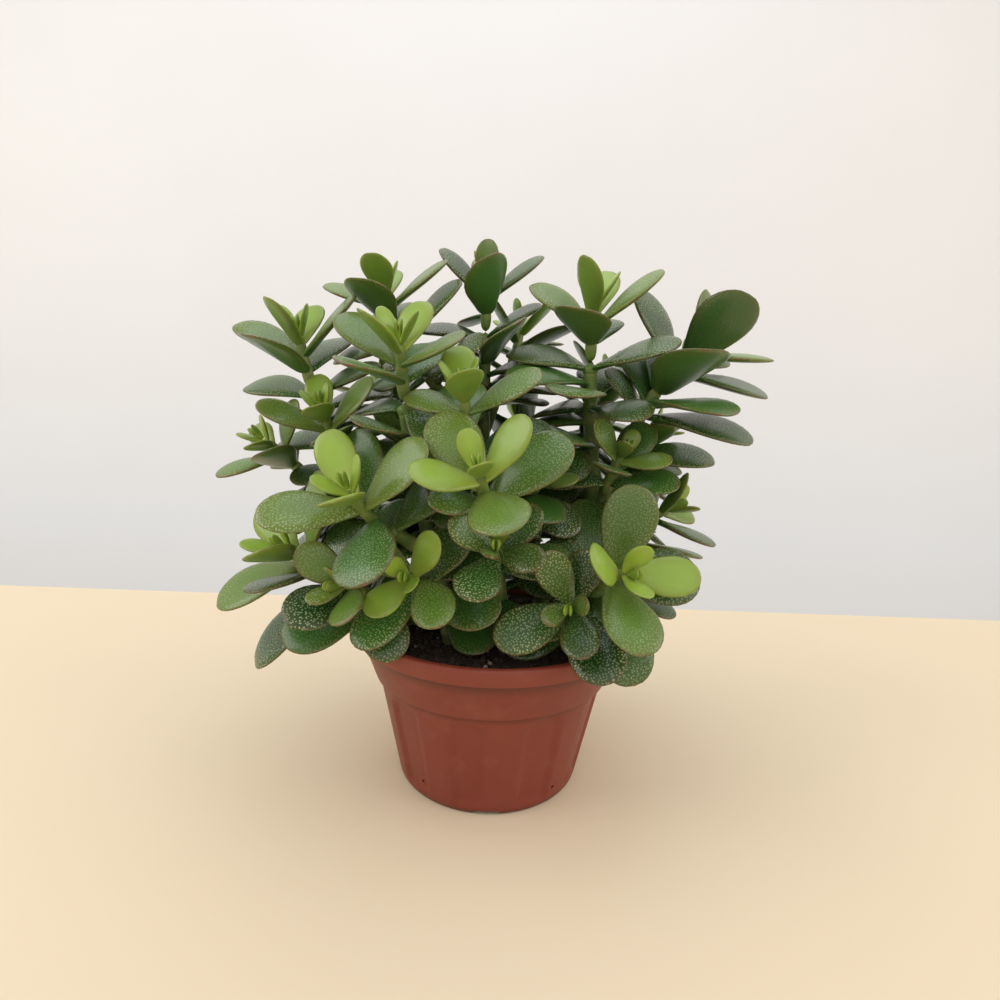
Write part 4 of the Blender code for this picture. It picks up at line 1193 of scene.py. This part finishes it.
class JADE_OT_stems(bpy.types.Operator):
    """Makes the nine stems with their side shoots and leaf scars"""

    bl_idname = "jade.stems"
    bl_label = "Stems"

    def execute(self, context):
        settings = context.scene.jade_stem
        skin = stem_material(settings)
        paths, _, _ = grown()
        for stem in STEMS:
            bm = new_mesh()
            for shoot in SHOOTS:
                if shoot.name != stem.leader and shoot.parent != stem.name:
                    continue
                path = paths[shoot.name]
                end = stem_end(path) + 1 * MM
                count = int(end / settings.scar_spacing)
                scars = [end - settings.scar_spacing * (i + 0.4) for i in range(count)]
                age, turns = (0.45, 12) if shoot.parent else (1.0, 16)
                add_stalk(bm, path, GAP, end, 0.0, age, 0, turns, scars)
            finish_piece("stem_skin_" + stem.name, bm, [skin], "stem_" + stem.name)
        return {"FINISHED"}


# Shoots that have stopped growing: their young leaves are already dark.
RIPENESS = {
    "low_mid_right": 0.75, "low_centre": 0.75, "inner_right": 0.5, "inner_left": 0.6, "low_far_left": 0.5,
    "mid_centre": 0.5, "right_low": 0.3, "crown": 0.4, "right_far": 0.5, "low_back_mid": 0.4,
}
LEAF_AGES = (0.0, 0.15, 0.72, 0.95)  # of a rosette's pairs: 0 has just opened and 1 is full-grown


def leaf_age(level):
    return LEAF_AGES[level] if level < ROSETTE_AGES else 1.0


class JADE_OT_rosettes(bpy.types.Operator):
    """Makes the soft end of each shoot, with its bud, its young leaves and the older ones that fill in"""

    bl_idname = "jade.rosettes"
    bl_label = "Leaf rosettes"

    def execute(self, context):
        paths, leaves, fill = grown()
        rng = random.Random(31)
        skins = shared_skins(context.scene)
        for shoot in SHOOTS:
            path = paths[shoot.name]
            own = [leaf for level in range(ROSETTE_AGES) for leaf in leaves[shoot.name, level]]
            start = stem_end(path)
            check_box("rosette_" + shoot.name, corners_of(own, path, start, path.length))
            bm = new_mesh()
            rings = [path.length - AGES[level].below * MM for level in range(1, 6)]
            add_stalk(bm, path, start, path.length, 0.0, 0.2, 1, rings=rings)
            add_bud(bm, path)
            for leaf in own + fill[shoot.name]:
                old = leaf_age(leaf.age) + RIPENESS.get(shoot.name, 0.0) + rng.uniform(-0.10, 0.10)
                add_leaf(bm, leaf, max(0.0, min(1.0, old)), rng.random() ** 1.5, rng.random())
            finish_piece("leaves_" + shoot.name, bm, skins, "rosette_" + shoot.name)
        return {"FINISHED"}


def add_bud(bm, path):
    """Two small leaves still pressed together at the tip."""
    tip, aim, _ = path.at(path.length)
    first = across_of(aim)
    for side in (1, -1):
        along = (aim + first * side * 0.16).normalized()
        inward = -first * side
        blade = Leaf(
            base=tip + first * side * 0.2 * MM, along=along,
            normal=(inward - along * inward.dot(along)).normalized(), length=BUD_LENGTH,
            width=2 * BUD_RADIUS, thickness=1.7 * MM, bend=0.0, twist=0.0, age=0,
        )
        add_leaf(bm, blade, 0.0, 0.5, 0.0)


class JADE_OT_pairs(bpy.types.Operator):
    """Makes the older leaf pairs, each with the collar that clasps its stem"""

    bl_idname = "jade.pairs"
    bl_label = "Leaf pairs"

    def execute(self, context):
        paths, leaves, _ = grown()
        rng = random.Random(47)
        skins = shared_skins(context.scene)
        for shoot in SHOOTS:
            path = paths[shoot.name]
            for level in range(ROSETTE_AGES, ROSETTE_AGES + shoot.old):
                own = leaves[shoot.name, level]
                if not own:
                    continue
                middle = path.length - AGES[level].below * MM
                node = "%s_%d" % (shoot.name, level - ROSETTE_AGES + 1)
                check_box("leaf_pair_" + node, corners_of(own, path, middle, middle))
                bm = new_mesh()
                add_stalk(bm, path, middle - COLLAR, middle + COLLAR, COLLAR_WALL, 0.3, 1)
                for leaf in own:
                    add_leaf(bm, leaf, rng.uniform(0.9, 1.0), rng.random() ** 1.5, rng.random())
                finish_piece("old_leaves_" + node, bm, skins, "leaf_pair_" + node)
        return {"FINISHED"}


def shared_skins(scene):
    """The leaf's and the stem's material, made once."""
    leaf = bpy.data.materials.get(LEAF_FINISH) or leaf_material(scene.jade_leaf)
    stem = bpy.data.materials.get(STEM_FINISH) or stem_material(scene.jade_stem)
    return [leaf, stem]


# ----------------------------------------------------------------------- stage

EYE = Vector((0.0, -0.27454, 0.17169))
PITCH_DOWN = 0.1413
YAW_RIGHT = 0.0054
ROLL = 0.0373
SENSOR = 36.0
LENS = 20.88
CLIP_START = 0.01
WALL_Y = 0.62
FLOOR_SIZE = (5.0, 3.0)
WALL_SIZE = (5.0, 3.0)
BELOW_POT = 0.3 * MM
LIT_POINT = Vector((0, 0, 0.12))  # what every light is turned to
# Name, place, side, the setting with its strength, colour
LIGHTS = (
    ("window", (-1.0, -0.25, 0.85), 0.8, "key_power", "#fdfbf8"),
    ("side", (1.0, -0.30, 0.75), 0.8, "side_power", "#fdf8f2"),
    ("front", (0.1, -1.2, 0.95), 1.2, "fill_power", "#fffcf8"),
    ("top", (0.0, 0.12, 1.15), 0.8, "sky_power", "#e2eafc"),
)


def camera_turn():
    """Columns of the camera's frame: right, up and back."""
    level = math.cos(PITCH_DOWN)
    ahead = Vector((math.sin(YAW_RIGHT) * level, math.cos(YAW_RIGHT) * level, -math.sin(PITCH_DOWN)))
    right = Vector((math.cos(YAW_RIGHT), -math.sin(YAW_RIGHT), 0))
    up = right.cross(ahead)
    side = math.cos(ROLL) * right + math.sin(ROLL) * up
    top = math.cos(ROLL) * up - math.sin(ROLL) * right
    return Matrix((side, top, -ahead)).transposed()


def set_plane(name, size, place, turn, skin):
    bm = bmesh.new()
    bmesh.ops.create_grid(bm, x_segments=1, y_segments=1, size=0.5)
    lay = Matrix.Translation(place) @ turn @ Matrix.Diagonal((*size, 1.0, 1.0))
    bmesh.ops.transform(bm, verts=bm.verts, matrix=lay)
    made = object_of(name, bm)
    made.data.materials.append(skin)


def area_light(name, place, size, power, colour):
    data = bpy.data.lights.new(name, "AREA")
    data.size, data.energy, data.color = size, power, linear(colour)
    made = bpy.data.objects.new(name, data)
    made.location = place
    made.rotation_euler = (LIT_POINT - Vector(place)).to_track_quat("-Z", "Y").to_euler()
    bpy.context.scene.collection.objects.link(made)


class JADE_OT_stage(bpy.types.Operator):
    """Sets the floor, the wall, the lights and the camera"""

    bl_idname = "jade.stage"
    bl_label = "Stage"

    def execute(self, context):
        settings = context.scene.jade_stage
        cream = paper_material("cotton_sheet_cream", settings.floor, settings)
        white = paper_material("wall_paper_matt", settings.wall, settings)
        floor_place = (0, settings.floor_depth - FLOOR_SIZE[1] / 2, -BELOW_POT)
        set_plane("floor", FLOOR_SIZE, floor_place, Matrix.Identity(4), cream)
        set_plane("wall", WALL_SIZE, (0, WALL_Y, 0.6), Matrix.Rotation(math.pi / 2, 4, "X"), white)
        for name, place, size, power, colour in LIGHTS:
            area_light(name, place, size, getattr(settings, power), colour)
        world = bpy.data.worlds.new("studio")
        world.use_nodes = True
        backdrop = world.node_tree.nodes["Background"]
        backdrop.inputs["Color"].default_value = (*linear("#efebe6"), 1.0)
        backdrop.inputs["Strength"].default_value = settings.sky
        context.scene.world = world
        data = bpy.data.cameras.new("camera")
        data.sensor_width, data.lens, data.clip_start = SENSOR, LENS, CLIP_START
        camera = bpy.data.objects.new("camera", data)
        camera.matrix_world = Matrix.Translation(EYE) @ camera_turn().to_4x4()
        context.scene.collection.objects.link(camera)
        context.scene.camera = camera
        context.scene.view_settings.view_transform = "Standard"
        return {"FINISHED"}


class JADE_PT_panel(bpy.types.Panel):
    """Lists the plant's pieces in the 3D view's sidebar"""

    bl_idname = "JADE_PT_panel"
    bl_label = "Potted jade plant"
    bl_space_type = "VIEW_3D"
    bl_region_type = "UI"
    bl_category = "Jade plant"

    def draw(self, context):
        for operator, group in STEPS:
            self.layout.operator(operator.bl_idname)
            settings = getattr(context.scene, group, None)
            for name in settings.__annotations__ if settings else ():
                self.layout.prop(settings, name)


GROUPS = {
    "jade_pot": PotSettings,
    "jade_soil": SoilSettings,
    "jade_stem": StemSettings,
    "jade_leaf": LeafSettings,
    "jade_stage": StageSettings,
}
STEPS = (
    (JADE_OT_pot, "jade_pot"),
    (JADE_OT_soil, "jade_soil"),
    (JADE_OT_stems, "jade_stem"),
    (JADE_OT_rosettes, "jade_leaf"),
    (JADE_OT_pairs, ""),
    (JADE_OT_stage, "jade_stage"),
)


def register():
    for group in GROUPS.values():
        bpy.utils.register_class(group)
    for operator, _ in STEPS:
        bpy.utils.register_class(operator)
    bpy.utils.register_class(JADE_PT_panel)
    for name, group in GROUPS.items():
        setattr(bpy.types.Scene, name, PointerProperty(type=group))


def unregister():
    for name in GROUPS:
        delattr(bpy.types.Scene, name)
    bpy.utils.unregister_class(JADE_PT_panel)
    for operator, _ in reversed(STEPS):
        bpy.utils.unregister_class(operator)
    for group in GROUPS.values():
        bpy.utils.unregister_class(group)


def main():
    register()
    bpy.ops.jade.pot()
    bpy.ops.jade.soil()
    bpy.ops.jade.stems()
    bpy.ops.jade.rosettes()
    bpy.ops.jade.pairs()
    bpy.ops.jade.stage()


if __name__ == "__main__":
    main()
